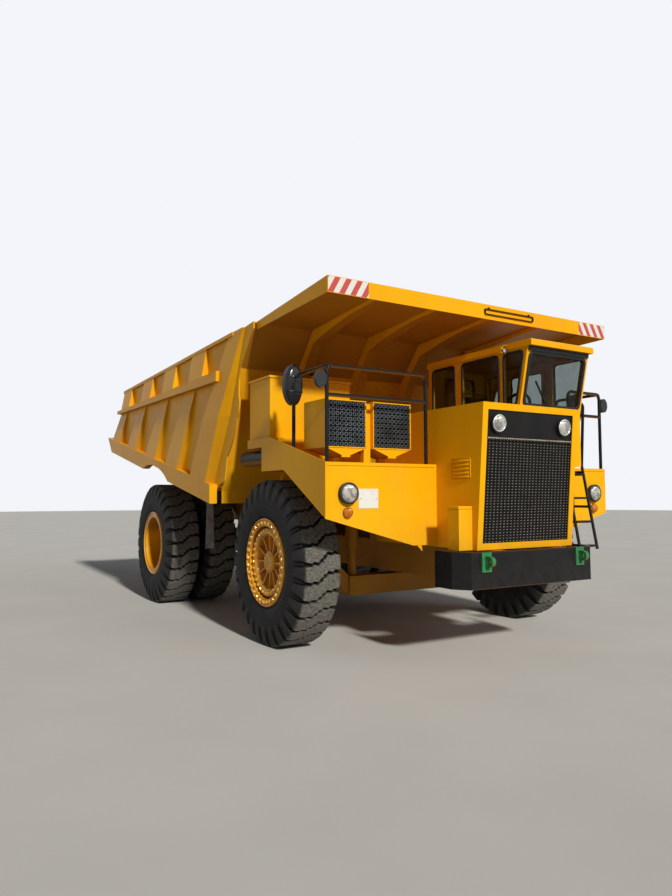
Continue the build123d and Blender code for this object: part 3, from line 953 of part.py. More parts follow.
# Dump body floor: inclined plate on two stringers and cross bolsters, with pivot ears
STRINGER_FRONT_Y = FLOOR_FRONT_Y - 60.0
STRINGER_REAR_Y = PIVOT_Y - 165.0
INNER_HALF_WIDTH = BODY_HALF_WIDTH - RIB_DEPTH - SIDE_PLATE
BOLSTERS_Y = [FLOOR_FRONT_Y + 250 + 760 * i for i in range(6)]
BODY_EAR = 60.0
with BuildPart() as body_floor:
    slab([(STRINGER_FRONT_Y, floor_z(STRINGER_FRONT_Y)), (TAIL_Y, floor_z(TAIL_Y)),
          (TAIL_Y, floor_z(TAIL_Y) - FLOOR_PLATE), (STRINGER_FRONT_Y, floor_z(STRINGER_FRONT_Y) - FLOOR_PLATE)],
         -INNER_HALF_WIDTH, INNER_HALF_WIDTH)
    for y in BOLSTERS_Y:
        z = floor_z(y) - FLOOR_PLATE
        slab([(y, z), (y + 140, z + 140 * FLOOR_SLOPE), (y + 130, z - 90), (y + 10, z - 90)],
             -INNER_HALF_WIDTH, INNER_HALF_WIDTH)
    for side in (-1, 1):
        slab([(STRINGER_FRONT_Y, floor_z(STRINGER_FRONT_Y) - 5), (STRINGER_REAR_Y, floor_z(STRINGER_REAR_Y) - 5),
              (STRINGER_REAR_Y, STRINGER_BOTTOM_Z), (STRINGER_FRONT_Y, STRINGER_BOTTOM_Z)],
             side * RAIL_INNER_X, side * RAIL_OUTER_X)
        for near, far in ((PIVOT_EAR[0] - SIDE_GAP - BODY_EAR, PIVOT_EAR[0] - SIDE_GAP),
                          (PIVOT_EAR[1] + SIDE_GAP, PIVOT_EAR[1] + SIDE_GAP + BODY_EAR)):
            slab([(PIVOT_Y - 400, floor_z(PIVOT_Y - 400) - 5), (PIVOT_Y + 400, floor_z(PIVOT_Y + 400) - 5),
                  (PIVOT_Y + 95, PIVOT_Z), (PIVOT_Y - 95, PIVOT_Z), (PIVOT_Y - 165, PIVOT_Z + 100)],
                 side * near, side * far)
            bar((side * near, PIVOT_Y, PIVOT_Z), (side * far, PIVOT_Y, PIVOT_Z), 190)
        bar((side * 250, PIVOT_Y, PIVOT_Z), (side * 600, PIVOT_Y, PIVOT_Z),
            PIVOT_PIN_DIAMETER + 2 * RUNNING_GAP, Mode.SUBTRACT)
        # Hoist head bracket: two cheeks with the rod's eye between them
        for near in (HOIST_X - HOIST_EYE_WIDTH / 2 - SIDE_GAP - BRACKET_PLATE,
                     HOIST_X + HOIST_EYE_WIDTH / 2 + SIDE_GAP):
            slab([(HOIST_HEAD_Y - 200, floor_z(HOIST_HEAD_Y - 200) - 5),
                  (HOIST_HEAD_Y + 200, floor_z(HOIST_HEAD_Y + 200) - 5),
                  (HOIST_HEAD_Y + 85, HOIST_HEAD_Z), (HOIST_HEAD_Y - 85, HOIST_HEAD_Z)],
                 side * near, side * (near + BRACKET_PLATE))
            bar((side * near, HOIST_HEAD_Y, HOIST_HEAD_Z),
                (side * (near + BRACKET_PLATE), HOIST_HEAD_Y, HOIST_HEAD_Z), 170)
save(body_floor.part, "body_floor")

# Dump body side: plate, three rails, leaning corner post and two rows of tapered ribs
OUTER_X = -BODY_HALF_WIDTH
WALL_X = -BODY_HALF_WIDTH + RIB_DEPTH
RIB_ROOT_X = WALL_X + SIDE_PLATE / 2
TAIL_TOP_Y = TAIL_Y - 880.0
MID_RAIL = (FRONT_AXLE_Y + 1080.0, TAIL_Y - 660.0, 130.0, 55.0)     # y0, y1, height at each


def leaned(y, z_from, z_to):
    """Where a line leaning like the body's front goes from (y, z_from) at height z_to."""
    return y - (z_to - z_from) * tan(LEAN)


def side_rib(sections):
    """Rib on the side plate through level sections: z, front y outside, front y inside, rear y, depth."""
    faces = []
    for z, front_out, front_in, rear, depth in sections:
        with BuildSketch(Plane.XY.offset(z)) as level:
            with BuildLine():
                Polyline((RIB_ROOT_X, front_in), (WALL_X - depth, front_out), (WALL_X - depth, rear),
                         (RIB_ROOT_X, rear), close=True)
            make_face()
        faces += level.sketch.faces()
    loft(faces, ruled=True)


RIB_FOOT_DEPTH = RIB_DEPTH - 4.0
RIB_HEAD_DEPTH = 22.0
CORNER_POST = [                     # z, front outside, front inside, rear, depth
    (1790.0, 1440.0, 1350.0, 2080.0, RIB_DEPTH),
    (2600.0, 1010.0, 840.0, 1580.0, RIB_DEPTH - 10),
    (3600.0, 430.0, 415.0, 820.0, 28.0),
]
LOWER_RIBS = [                      # front and rear at the foot, front and rear at the head
    (2580.0, 3250.0, 2010.0, 2410.0),
    (3650.0, 4280.0, 3180.0, 3530.0),
    (4760.0, 5380.0, 4380.0, 4780.0),
    (5860.0, 6380.0, 5560.0, 5980.0),
]
UPPER_RIBS = [                      # front and rear
    (1600.0, 2140.0),
    (2800.0, 3330.0),
    (3950.0, 4470.0),
    (5200.0, 5720.0),
]
PLATE_FRONT = [                     # edge ahead of the corner post, from the axle: y, z, or an arc's middle and end
    (1150.0, 1780.0), (1010.0, 1810.0), (940.0, 2110.0), (780.0, 2290.0, 640.0, 2560.0),
    (585.0, 2670.0, 575.0, 2780.0), (600.0, 2820.0), (590.0, 3020.0), (540.0, 3150.0), (185.0, 3540.0),
    (185.0, 3622.0),
]
NOTCH_REAR_Y = REAR_AXLE_Y + 420.0      # of the lower rail's hollow over the rear wheels
NOTCH_FRONT_Y = REAR_AXLE_Y - 840.0
NOTCH_TOP = (REAR_AXLE_Y + 130.0, 2122.0, REAR_AXLE_Y - 250.0, 2075.0)
NOTCH_FRONT_MIDDLE = (REAR_AXLE_Y - 560.0, 1995.0)


def rail_bottom(y):
    """Height of the lower rail's lower edge at y."""
    return floor_z(y) - LOWER_RAIL_HEIGHT


with BuildPart() as body_side:
    foot_y = FLOOR_FRONT_Y + 50
    edge = [tuple(value + FRONT_AXLE_Y * (i % 2 == 0) for i, value in enumerate(row)) for row in PLATE_FRONT]
    slab(edge + [(FRONT_AXLE_Y + 480, BODY_TOP_FRONT_Z), (TAIL_TOP_Y, BODY_TOP_REAR_Z), (TAIL_Y - 640, MID_RAIL_Z + 10),
                 (TAIL_Y, floor_z(TAIL_Y)), (TAIL_Y, floor_z(TAIL_Y) - 60), (foot_y, floor_z(foot_y) - 60)],
         WALL_X, WALL_X + SIDE_PLATE)
    # Lower rail, its underside raised in two arcs over the rear wheels
    slab([(foot_y, floor_z(foot_y)), (TAIL_Y, floor_z(TAIL_Y)), (TAIL_Y - 290, rail_bottom(TAIL_Y - 290)),
          (NOTCH_REAR_Y, rail_bottom(NOTCH_REAR_Y)), NOTCH_TOP,
          (*NOTCH_FRONT_MIDDLE, NOTCH_FRONT_Y, rail_bottom(NOTCH_FRONT_Y)), (foot_y, rail_bottom(foot_y))],
         OUTER_X, WALL_X)
    # Middle rail, tapering to the tail
    y0, y1, height0, height1 = MID_RAIL
    slab([(y0, MID_RAIL_Z), (y1, MID_RAIL_Z), (y1, MID_RAIL_Z - height1), (y0, MID_RAIL_Z - height0)],
         OUTER_X, WALL_X)
    # Top rail
    top_y0 = FRONT_AXLE_Y + 700
    slab([(top_y0, top_z(top_y0)), (TAIL_TOP_Y, top_z(TAIL_TOP_Y)),
          (TAIL_TOP_Y + 30, top_z(TAIL_TOP_Y) - TOP_RAIL_HEIGHT), (top_y0, top_z(top_y0) - TOP_RAIL_HEIGHT)],
         WALL_X - 40, WALL_X)
    side_rib([(z, FRONT_AXLE_Y + a, FRONT_AXLE_Y + b, FRONT_AXLE_Y + c, depth)
              for z, a, b, c, depth in CORNER_POST])
    for foot_front, foot_rear, head_front, head_rear in LOWER_RIBS:
        foot_z = floor_z(FRONT_AXLE_Y + foot_front) - 30
        side_rib([(foot_z, FRONT_AXLE_Y + foot_front, FRONT_AXLE_Y + foot_front - 30, FRONT_AXLE_Y + foot_rear,
                   RIB_FOOT_DEPTH),
                  (MID_RAIL_Z - 60, FRONT_AXLE_Y + head_front, FRONT_AXLE_Y + head_front, FRONT_AXLE_Y + head_rear,
                   RIB_HEAD_DEPTH)])
    for front, rear in UPPER_RIBS:
        y0, y1 = FRONT_AXLE_Y + front, FRONT_AXLE_Y + rear
        side_rib([(MID_RAIL_Z - 20, y0, y0, y1, RIB_FOOT_DEPTH), (top_z(y1) - 20, y0, y0, y1, RIB_HEAD_DEPTH + 10)])
save(body_side.part, "body_side_right")
save_left(body_side.part, "body_side_left")

# Front wall of the body, bent forward at its top into the canopy, with upright box stiffeners
WALL_FOOT_Y = FLOOR_FRONT_Y - 60.0
WALL_FOOT_Z = 1540.0
WALL_PLATE = 20.0
BEND_Z = 3150.0
BEND_Y = leaned(WALL_FOOT_Y, 1690.0, BEND_Z)
WALL_HALF_WIDTH = INNER_HALF_WIDTH
STIFFENERS_X = (-1200.0, -400.0, 400.0, 1200.0)
STIFFENER_HALF = 65.0
STIFFENER_DEPTH = 110.0
SEAM_DEPTH = 175.0                  # of a stiffener below the canopy at the wall's upper end
FRONT_WALL = [                      # y, z
    (WALL_FOOT_Y - WALL_PLATE, WALL_FOOT_Z), (WALL_FOOT_Y - WALL_PLATE, 1690.0), (BEND_Y - WALL_PLATE, BEND_Z),
    (CANOPY_REAR_Y, CANOPY_REAR_Z - CANOPY_PLATE), (CANOPY_REAR_Y, CANOPY_REAR_Z), (BEND_Y, BEND_Z + 8),
    (WALL_FOOT_Y, 1690.0), (WALL_FOOT_Y, WALL_FOOT_Z),
]
WALL_STIFFENER = [                  # its front edge sweeps forward under the canopy
    (WALL_FOOT_Y - WALL_PLATE, 1690.0), (WALL_FOOT_Y - WALL_PLATE - STIFFENER_DEPTH, 1760.0),
    (leaned(WALL_FOOT_Y - WALL_PLATE - STIFFENER_DEPTH, 1690.0, 2800.0), 2800.0),
    (BEND_Y - 235.0, 3210.0, CANOPY_REAR_Y, CANOPY_REAR_Z - SEAM_DEPTH),
    (CANOPY_REAR_Y, CANOPY_REAR_Z - CANOPY_PLATE), (BEND_Y - WALL_PLATE, BEND_Z),
]
with BuildPart() as body_front_wall:
    slab(FRONT_WALL, -WALL_HALF_WIDTH, WALL_HALF_WIDTH)
    for x in STIFFENERS_X:
        slab(WALL_STIFFENER, x - STIFFENER_HALF, x + STIFFENER_HALF)
save(body_front_wall.part, "body_front_wall")

# Canopy: plate with a front band, side bands and stiffeners that carry on the wall's
BAND_REAR_HEIGHT = 90.0
CANOPY_STIFFENER = [
    (CANOPY_FRONT_Y + CANOPY_PLATE / 2, CANOPY_FRONT_Z - 5), (CANOPY_REAR_Y, CANOPY_REAR_Z - 5),
    (CANOPY_REAR_Y, CANOPY_REAR_Z - SEAM_DEPTH),
    (CANOPY_REAR_Y - 420.0, CANOPY_REAR_Z - 72.0, CANOPY_REAR_Y - 900.0, CANOPY_REAR_Z + 5.0),
    (CANOPY_FRONT_Y + CANOPY_PLATE / 2, CANOPY_FRONT_Z - 62.0),
]
with BuildPart() as canopy:
    slab([(CANOPY_FRONT_Y, CANOPY_FRONT_Z), (CANOPY_REAR_Y, CANOPY_REAR_Z),
          (CANOPY_REAR_Y, CANOPY_REAR_Z - CANOPY_PLATE), (CANOPY_FRONT_Y, CANOPY_FRONT_Z - CANOPY_PLATE)],
         -CANOPY_HALF_WIDTH, CANOPY_HALF_WIDTH)
    block(-CANOPY_HALF_WIDTH, CANOPY_HALF_WIDTH, CANOPY_FRONT_Y, CANOPY_FRONT_Y + CANOPY_PLATE,
          CANOPY_FRONT_Z - CANOPY_BAND, CANOPY_FRONT_Z - 1)
    for side in (-1, 1):
        slab([(CANOPY_FRONT_Y, CANOPY_FRONT_Z - 1), (CANOPY_REAR_Y, CANOPY_REAR_Z - 1),
              (CANOPY_REAR_Y, CANOPY_REAR_Z - BAND_REAR_HEIGHT), (CANOPY_FRONT_Y, CANOPY_FRONT_Z - CANOPY_BAND)],
             side * CANOPY_HALF_WIDTH, side * (CANOPY_HALF_WIDTH - CANOPY_PLATE))
    for x in STIFFENERS_X:
        slab(CANOPY_STIFFENER, x - STIFFENER_HALF, x + STIFFENER_HALF)
save(canopy.part, "canopy")

# Rock ejectors: tapered plates hanging ahead of the gaps between the rear tyres
EJECTOR_Y = REAR_AXLE_Y - 1080.0
EJECTOR_BOTTOM_Z = 870.0
EJECTOR_HALF = (30.0, 65.0, 12.0)       # half widths at head and foot, half thickness
with BuildPart() as rock_ejectors:
    for side in (-1, 1):
        middle, head_z = side * DUAL_TRACK / 2, floor_z(EJECTOR_Y - EJECTOR_HALF[2]) - FLOOR_PLATE - 0.3
        panel([(middle - EJECTOR_HALF[0], head_z), (middle + EJECTOR_HALF[0], head_z),
               (middle + EJECTOR_HALF[1], EJECTOR_BOTTOM_Z), (middle - EJECTOR_HALF[1], EJECTOR_BOTTOM_Z)],
              EJECTOR_Y - EJECTOR_HALF[2], EJECTOR_Y + EJECTOR_HALF[2])
save(rock_ejectors.part, "rock_ejectors")

# Hoist cylinders along the line from foot pin to head pin
HOIST_PLANE = Plane(origin=(-HOIST_X, HOIST_FOOT_Y, HOIST_FOOT_Z), x_dir=(1, 0, 0),
                    z_dir=(0, cos(radians(HOIST_ANGLE)), sin(radians(HOIST_ANGLE))))
BARREL_END = HOIST_LENGTH - 220.0
with BuildPart() as hoist_barrel:
    bar((-HOIST_X - HOIST_EYE_WIDTH / 2, HOIST_FOOT_Y, HOIST_FOOT_Z),
        (-HOIST_X + HOIST_EYE_WIDTH / 2, HOIST_FOOT_Y, HOIST_FOOT_Z), 2 * HOIST_EYE_RADIUS)
    with BuildSketch(HOIST_PLANE):
        Rectangle(HOIST_EYE_WIDTH, 110)
    extrude(amount=130)
    with BuildSketch(HOIST_PLANE.offset(120)):
        Circle(HOIST_BARREL_DIAMETER / 2)
    extrude(amount=BARREL_END - 120)
    with BuildSketch(HOIST_PLANE.offset(160)):
        Circle(HOIST_ROD_DIAMETER / 2 + RUNNING_GAP)
    extrude(amount=BARREL_END, mode=Mode.SUBTRACT)
    bar((-HOIST_X - 100, HOIST_FOOT_Y, HOIST_FOOT_Z), (-HOIST_X + 100, HOIST_FOOT_Y, HOIST_FOOT_Z),
        HOIST_PIN_DIAMETER + 2 * RUNNING_GAP, Mode.SUBTRACT)
save(hoist_barrel.part, "hoist_barrel_right")
save_left(hoist_barrel.part, "hoist_barrel_left")

with BuildPart() as hoist_rod:
    with BuildSketch(HOIST_PLANE.offset(200)):
        Circle(HOIST_ROD_DIAMETER / 2)
    extrude(amount=HOIST_LENGTH - 200 - HOIST_EYE_RADIUS + 20)
    bar((-HOIST_X - HOIST_EYE_WIDTH / 2, HOIST_HEAD_Y, HOIST_HEAD_Z),
        (-HOIST_X + HOIST_EYE_WIDTH / 2, HOIST_HEAD_Y, HOIST_HEAD_Z), 2 * HOIST_EYE_RADIUS)
save(hoist_rod.part, "hoist_rod_right")
save_left(hoist_rod.part, "hoist_rod_left")
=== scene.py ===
"""Looks of a rigid off-highway dump truck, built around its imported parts.

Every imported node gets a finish, and the pieces too fine for the parts (tread, bolts, mesh, trim,
lamps, cushions) are made here and ride on the bodies. Metres, +Z up, nose towards -Y, +X to the
driver's left.
"""
import logging
import math
from dataclasses import dataclass
from enum import Enum
from typing import Optional, Sequence

import bmesh
import bpy
from mathutils import Matrix, Vector


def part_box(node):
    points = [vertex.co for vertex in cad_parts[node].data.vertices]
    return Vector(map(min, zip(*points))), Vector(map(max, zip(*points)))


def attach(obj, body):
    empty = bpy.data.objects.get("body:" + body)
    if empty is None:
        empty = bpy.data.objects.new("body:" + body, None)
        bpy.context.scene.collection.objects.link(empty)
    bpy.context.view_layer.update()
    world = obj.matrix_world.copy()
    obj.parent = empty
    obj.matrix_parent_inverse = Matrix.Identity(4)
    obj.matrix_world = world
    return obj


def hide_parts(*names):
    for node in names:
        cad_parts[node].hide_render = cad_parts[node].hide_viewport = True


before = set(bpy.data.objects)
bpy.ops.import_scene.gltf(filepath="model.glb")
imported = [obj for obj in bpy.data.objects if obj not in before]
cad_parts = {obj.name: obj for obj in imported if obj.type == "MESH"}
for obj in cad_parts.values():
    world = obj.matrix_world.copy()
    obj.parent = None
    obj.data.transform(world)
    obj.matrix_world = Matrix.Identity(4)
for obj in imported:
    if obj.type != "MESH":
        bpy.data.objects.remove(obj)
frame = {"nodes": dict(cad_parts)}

LOG = logging.getLogger("dumper")
Vec = tuple[float, float, float]
Flat = tuple[float, float]
Rgb = tuple[float, float, float]

AHEAD: Vec = (0.0, -1.0, 0.0)
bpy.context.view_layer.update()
FRONT_AXLE_Y = sum(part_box("tyre_front_right")[i].y for i in (0, 1)) / 2
REAR_AXLE_Y = sum(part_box("tyres_rear_right")[i].y for i in (0, 1)) / 2
AXLE_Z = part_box("tyre_front_right")[1].z / 2
FRONT_WHEEL_X = 1.755           # middle of a front wheel, from the truck's middle
REAR_WHEELS_X = (1.29, 1.87)    # middles of a rear side's twin wheels
BEAD_OUT = 0.227                # of a bead ring from its wheel's middle
# Circles of wheel bolts, rim to hub: place along X, radius, count, width of the heads
FRONT_BOLTS = ((FRONT_WHEEL_X + 0.2255, 0.432, 32, 0.030), (1.955, 0.340, 30, 0.026),
               (1.940, 0.076, 6, 0.020))
REAR_BOLTS = ((1.730, 0.362, 24, 0.030), (1.810, 0.172, 16, 0.026))
CLEANERS = (("cleaner_outer", -1.66), ("cleaner_inner", -1.10))     # name, middle x
CLEANER_Y, CLEANER_Z, CLEANER_HALF = -3.4075, (2.105, 2.585), 0.24


class Side(Enum):
    """Side of the truck, valued by the sign of its X."""

    RIGHT = -1
    LEFT = 1

    @property
    def word(self) -> str:
        """Name of the side as nodes and bodies spell it."""
        return self.name.lower()


class Graph:
    """Node tree of one material, with short calls for the nodes that the finishes share."""

    def __init__(self, name: str) -> None:
        """Starts an empty material.

        Args:
            name: name of the material.
        """
        self.material = bpy.data.materials.new(name)
        self.material.use_nodes = True
        self.tree = self.material.node_tree
        self.tree.nodes.clear()
        self.output = self.tree.nodes.new("ShaderNodeOutputMaterial")
        where = self.tree.nodes.new("ShaderNodeTexCoord")
        self.place, self.facing = where.outputs["Object"], where.outputs["Normal"]

    def node(self, kind: str, **values: object) -> bpy.types.Node:
        """Adds a node.

        Args:
            kind: Blender's name of the node.
            values: attributes to set on it.

        Returns:
            The node.
        """
        made = self.tree.nodes.new(kind)
        for key, value in values.items():
            setattr(made, key, value)
        return made

    def link(self, source: bpy.types.NodeSocket, target: bpy.types.NodeSocket) -> None:
        """Joins two sockets."""
        self.tree.links.new(source, target)

    def stretched(self, scale: Vec) -> bpy.types.NodeSocket:
        """Object coordinates multiplied along each axis.

        Args:
            scale: factor for each axis.

        Returns:
            The stretched coordinates.
        """
        mapping = self.node("ShaderNodeMapping")
        mapping.inputs["Scale"].default_value = scale
        self.link(self.place, mapping.inputs["Vector"])
        return mapping.outputs["Vector"]

    def noise(self, scale: float, detail: float = 4.0, rough: float = 0.55,
              where: Optional[bpy.types.NodeSocket] = None) -> bpy.types.NodeSocket:
        """Noise over the surface.

        Args:
            scale: waves per metre.
            detail: octaves.
            rough: share that each octave keeps.
            where: coordinates, or None for the object's own.

        Returns:
            The noise from 0 to 1.
        """
        made = self.node("ShaderNodeTexNoise")
        made.inputs["Scale"].default_value = scale
        made.inputs["Detail"].default_value = detail
        made.inputs["Roughness"].default_value = rough
        self.link(where or self.place, made.inputs["Vector"])
        return made.outputs["Fac"]

    def ramp(self, value: bpy.types.NodeSocket, low: float, high: float, bottom: float = 0.0,
             top: float = 1.0) -> bpy.types.NodeSocket:
        """Clamped straight ramp.

        Args:
            value: what goes in.
            low: input that gives bottom.
            high: input that gives top.
            bottom: output at low.
            top: output at high.

        Returns:
            The value after the ramp.
        """
        made = self.node("ShaderNodeMapRange", clamp=True)
        self.link(value, made.inputs["Value"])
        for key, number in (("From Min", low), ("From Max", high), ("To Min", bottom), ("To Max", top)):
            made.inputs[key].default_value = number
        return made.outputs["Result"]

    def math(self, operation: str, a: bpy.types.NodeSocket,
             b: "bpy.types.NodeSocket | float") -> bpy.types.NodeSocket:
        """Arithmetic on one value and another, or a number.

        Args:
            operation: Blender's name of the operation.
            a: first value.
            b: second value, a socket or a number.

        Returns:
            The result.
        """
        made = self.node("ShaderNodeMath", operation=operation)
        self.link(a, made.inputs[0])
        if isinstance(b, (int, float)):
            made.inputs[1].default_value = b
        else:
            self.link(b, made.inputs[1])
        return made.outputs["Value"]

    def mix(self, share: bpy.types.NodeSocket, a: "bpy.types.NodeSocket | Rgb",
            b: "bpy.types.NodeSocket | Rgb") -> bpy.types.NodeSocket:
        """Colour between a and b.

        Args:
            share: how much of b.
            a: colour or socket where share is 0.
            b: colour or socket where share is 1.

        Returns:
            The mixed colour.
        """
        made = self.node("ShaderNodeMix", data_type="RGBA")
        self.link(share, made.inputs["Factor"])
        for socket, value in ((made.inputs[6], a), (made.inputs[7], b)):
            if isinstance(value, tuple):
                socket.default_value = (*value, 1.0)
            else:
                self.link(value, socket)
        return made.outputs[2]

    def height(self) -> bpy.types.NodeSocket:
        """Height over the ground at rest.

        Returns:
            The height in metres.
        """
        split = self.node("ShaderNodeSeparateXYZ")
        self.link(self.place, split.inputs["Vector"])
        return split.outputs["Z"]

    def facing_down(self) -> bpy.types.NodeSocket:
        """Share by which the face looks down at rest.

        Returns:
            The share, 1 straight down and -1 straight up.
        """
        split = self.node("ShaderNodeSeparateXYZ")
        self.link(self.facing, split.inputs["Vector"])
        return self.math("MULTIPLY", split.outputs["Z"], -1.0)

    def bump(self, value: bpy.types.NodeSocket, distance: float, strength: float = 1.0,
             under: Optional[bpy.types.NodeSocket] = None) -> bpy.types.NodeSocket:
        """Surface relief.

        Args:
            value: height from 0 to 1.
            distance: height in metres that 1 stands for.
            strength: share of the effect.
            under: a normal that it is laid over.

        Returns:
            The new normal.
        """
        made = self.node("ShaderNodeBump")
        made.inputs["Distance"].default_value = distance
        made.inputs["Strength"].default_value = strength
        self.link(value, made.inputs["Height"])
        if under:
            self.link(under, made.inputs["Normal"])
        return made.outputs["Normal"]

    def principled(self, **values: object) -> bpy.types.Node:
        """Adds the surface shader and joins it to the output.

        Args:
            values: input name, with _ for a blank, to a number, colour or socket.

        Returns:
            The shader node.
        """
        shader = self.node("ShaderNodeBsdfPrincipled")
        for key, value in values.items():
            socket = shader.inputs[key.replace("_", " ")]
            if isinstance(value, bpy.types.NodeSocket):
                self.link(value, socket)
            elif isinstance(value, tuple) and len(value) == 3 and socket.type == "RGBA":
                socket.default_value = (*value, 1.0)
            else:
                socket.default_value = value
        self.link(shader.outputs["BSDF"], self.output.inputs["Surface"])
        return shader


@dataclass(frozen=True)
class Recipe:
    """Recipe of a finish: the material's name, and the nodes that each kind draws."""

    name: str

    def build(self) -> bpy.types.Material:
        """Makes the material.

        Returns:
            The finished material.
        """
        g = Graph(self.name)
        self.draw(g)
        return g.material

    def draw(self, g: Graph) -> None:
        """Adds the nodes of the finish; each kind of recipe has its own.

        Args:
            g: graph of the material.
        """
        raise NotImplementedError


@dataclass(frozen=True)
class Paint(Recipe):
    """Sprayed enamel on plate: orange peel, faded patches, road dust low down, runs and small chips, with
    painted shade on faces that look down.
    """

    fresh: Rgb
    faded: Rgb
    dust: Rgb = (0.34, 0.22, 0.10)
    rust: Rgb = (0.09, 0.035, 0.015)
    dust_top: float = 1.7          # height where road dust ends
    dust_share: float = 0.40
    streaks: float = 0.10
    chips: float = 0.71            # noise level above which paint is gone; higher is fewer
    roughness: Flat = (0.34, 0.52)
    # painted shade: dark brown mixed into faces that look down
    underside_shade: Rgb = (0.27, 0.105, 0.018)      # on faces that look down
    coat: float = 0.02
    gloss: float = 0.09

    def draw(self, g: Graph) -> None:
        """Adds the nodes of the finish.

        Args:
            g: graph of the material.
        """
        patches = g.ramp(g.noise(0.9, 5.0), 0.35, 0.68)
        mottle = g.noise(13.0, 7.0, 0.62)
        runs = g.ramp(g.noise(7.0, 5.0, 0.6, g.stretched((1.0, 1.0, 0.10))), 0.52, 0.74)
        body = g.mix(patches, self.fresh, self.faded)
        body = g.mix(g.math("MULTIPLY", runs, self.streaks), body, self.dust)
        low = g.ramp(g.height(), 0.35, self.dust_top, self.dust_share, 0.0)
        dusty = g.math("MULTIPLY", low, g.ramp(mottle, 0.32, 0.66))
        body = g.mix(dusty, body, self.dust)
        # painted shade: faces that look down are mixed towards a dark brown
        down = g.math("ADD", g.facing_down(), g.math("MULTIPLY", mottle, 0.1))
        under = g.ramp(down, 0.25, 0.65, 0.0, 0.8)
        body = g.mix(under, body, self.underside_shade)
        chipped = g.ramp(g.noise(31.0, 9.0, 0.7), self.chips, self.chips + 0.012)
        body = g.mix(chipped, body, self.rust)
        rough = g.ramp(g.math("ADD", mottle, dusty), 0.3, 1.0, *self.roughness)
        peel = g.bump(g.noise(260.0, 3.0), 0.0006, 0.35)
        normal = g.bump(g.math("SUBTRACT", g.noise(2.6, 3.0), chipped), 0.0025, 0.5, peel)
        g.principled(Base_Color=body, Roughness=rough, Normal=normal, Coat_Weight=self.coat,
                     Coat_Roughness=0.18, IOR=1.5, Specular_IOR_Level=self.gloss)


@dataclass(frozen=True)
class Rubber(Recipe):
    """Tyre rubber: black in the slots, bleached and gritty on the crown of each lug."""

    deep: Rgb = (0.004, 0.004, 0.0045)
    wall: Rgb = (0.030, 0.0295, 0.029)
    base: Rgb = (0.055, 0.052, 0.046)
    crown: Rgb = (0.20, 0.19, 0.168)

    def draw(self, g: Graph) -> None:
        """Adds the nodes of the finish.

        Args:
            g: graph of the material.
        """
        worn = g.node("ShaderNodeAttribute", attribute_name="worn").outputs["Fac"]
        grain = g.noise(48.0, 8.0, 0.7)
        clouds = g.ramp(g.noise(6.0, 5.0), 0.3, 0.7)
        side = g.mix(g.math("MULTIPLY", clouds, grain), self.deep, self.wall)
        top = g.mix(g.ramp(g.noise(42.0, 10.0, 0.8), 0.40, 0.60), self.base, self.crown)
        body = g.mix(worn, side, top)
        normal = g.bump(grain, 0.004, 0.7, g.bump(g.noise(9.0, 3.0), 0.006, 0.4))
        g.principled(Base_Color=body, Roughness=g.ramp(grain, 0.2, 0.8, 0.66, 0.92), Normal=normal,
                     IOR=1.5, Specular_IOR_Level=0.25)


@dataclass(frozen=True)
class Moulding(Recipe):
    """Rubber or plastic moulding with a fine matt grain and pale scuffs."""

    base: Rgb
    scuff: Rgb
    roughness: Flat = (0.42, 0.7)
    grain: float = 190.0
    relief: float = 0.0007
    gloss: float = 0.3

    def draw(self, g: Graph) -> None:
        """Adds the nodes of the finish.

        Args:
            g: graph of the material.
        """
        scuffs = g.ramp(g.noise(17.0, 9.0, 0.72), 0.55, 0.78)
        grain = g.noise(self.grain, 3.0)
        body = g.mix(scuffs, self.base, self.scuff)
        g.principled(Base_Color=body, Normal=g.bump(grain, self.relief, 0.6), Specular_IOR_Level=self.gloss,
                     Roughness=g.ramp(g.math("ADD", scuffs, grain), 0.3, 1.4, *self.roughness))


@dataclass(frozen=True)
class Metal(Recipe):
    """Bare or plated metal with drawn scratches, stain and a little rust."""

    base: Rgb
    stain: Rgb
    metallic: float = 1.0
    roughness: Flat = (0.18, 0.42)
    scratch: Vec = (6.0, 6.0, 120.0)

    def draw(self, g: Graph) -> None:
        """Adds the nodes of the finish.

        Args:
            g: graph of the material.
        """
        stains = g.ramp(g.noise(8.0, 8.0, 0.68), 0.45, 0.72)
        drawn = g.noise(1.0, 6.0, 0.6, g.stretched(self.scratch))
        body = g.mix(stains, self.base, self.stain)
        g.principled(Base_Color=body, Metallic=self.metallic, Normal=g.bump(drawn, 0.0008, 0.4),
                     Roughness=g.ramp(g.math("ADD", stains, drawn), 0.3, 1.5, *self.roughness))


@dataclass(frozen=True)
class Pane(Recipe):
    """Window glass, tinted a little, with a film of dust and wiped patches."""

    tint: Rgb
    film: Rgb = (0.33, 0.32, 0.29)
    clear: float = 0.84            # share of the light that goes straight through each face
    through: Rgb = (0.78, 0.82, 0.81)      # colour of that light

    def draw(self, g: Graph) -> None:
        """Adds the nodes of the finish.

        Args:
            g: graph of the material.
        """
        film = g.ramp(g.noise(5.0, 8.0, 0.7), 0.42, 0.85)
        veil = g.math("MULTIPLY", film, 0.28)
        shader = g.principled(Base_Color=g.mix(veil, self.tint, self.film), IOR=1.45,
                              Roughness=g.ramp(film, 0.0, 1.0, 0.03, 0.16))
        shader.inputs["Coat Weight"].default_value = 0.5
        through = g.node("ShaderNodeBsdfTransparent")
        through.inputs["Color"].default_value = (*self.through, 1.0)
        blend = g.node("ShaderNodeMixShader")
        g.link(g.ramp(film, 0.0, 1.0, 1.0 - self.clear, 1.0 - 0.85 * self.clear), blend.inputs["Fac"])
        g.link(through.outputs["BSDF"], blend.inputs[1])
        g.link(shader.outputs["BSDF"], blend.inputs[2])
        g.link(blend.outputs["Shader"], g.output.inputs["Surface"])


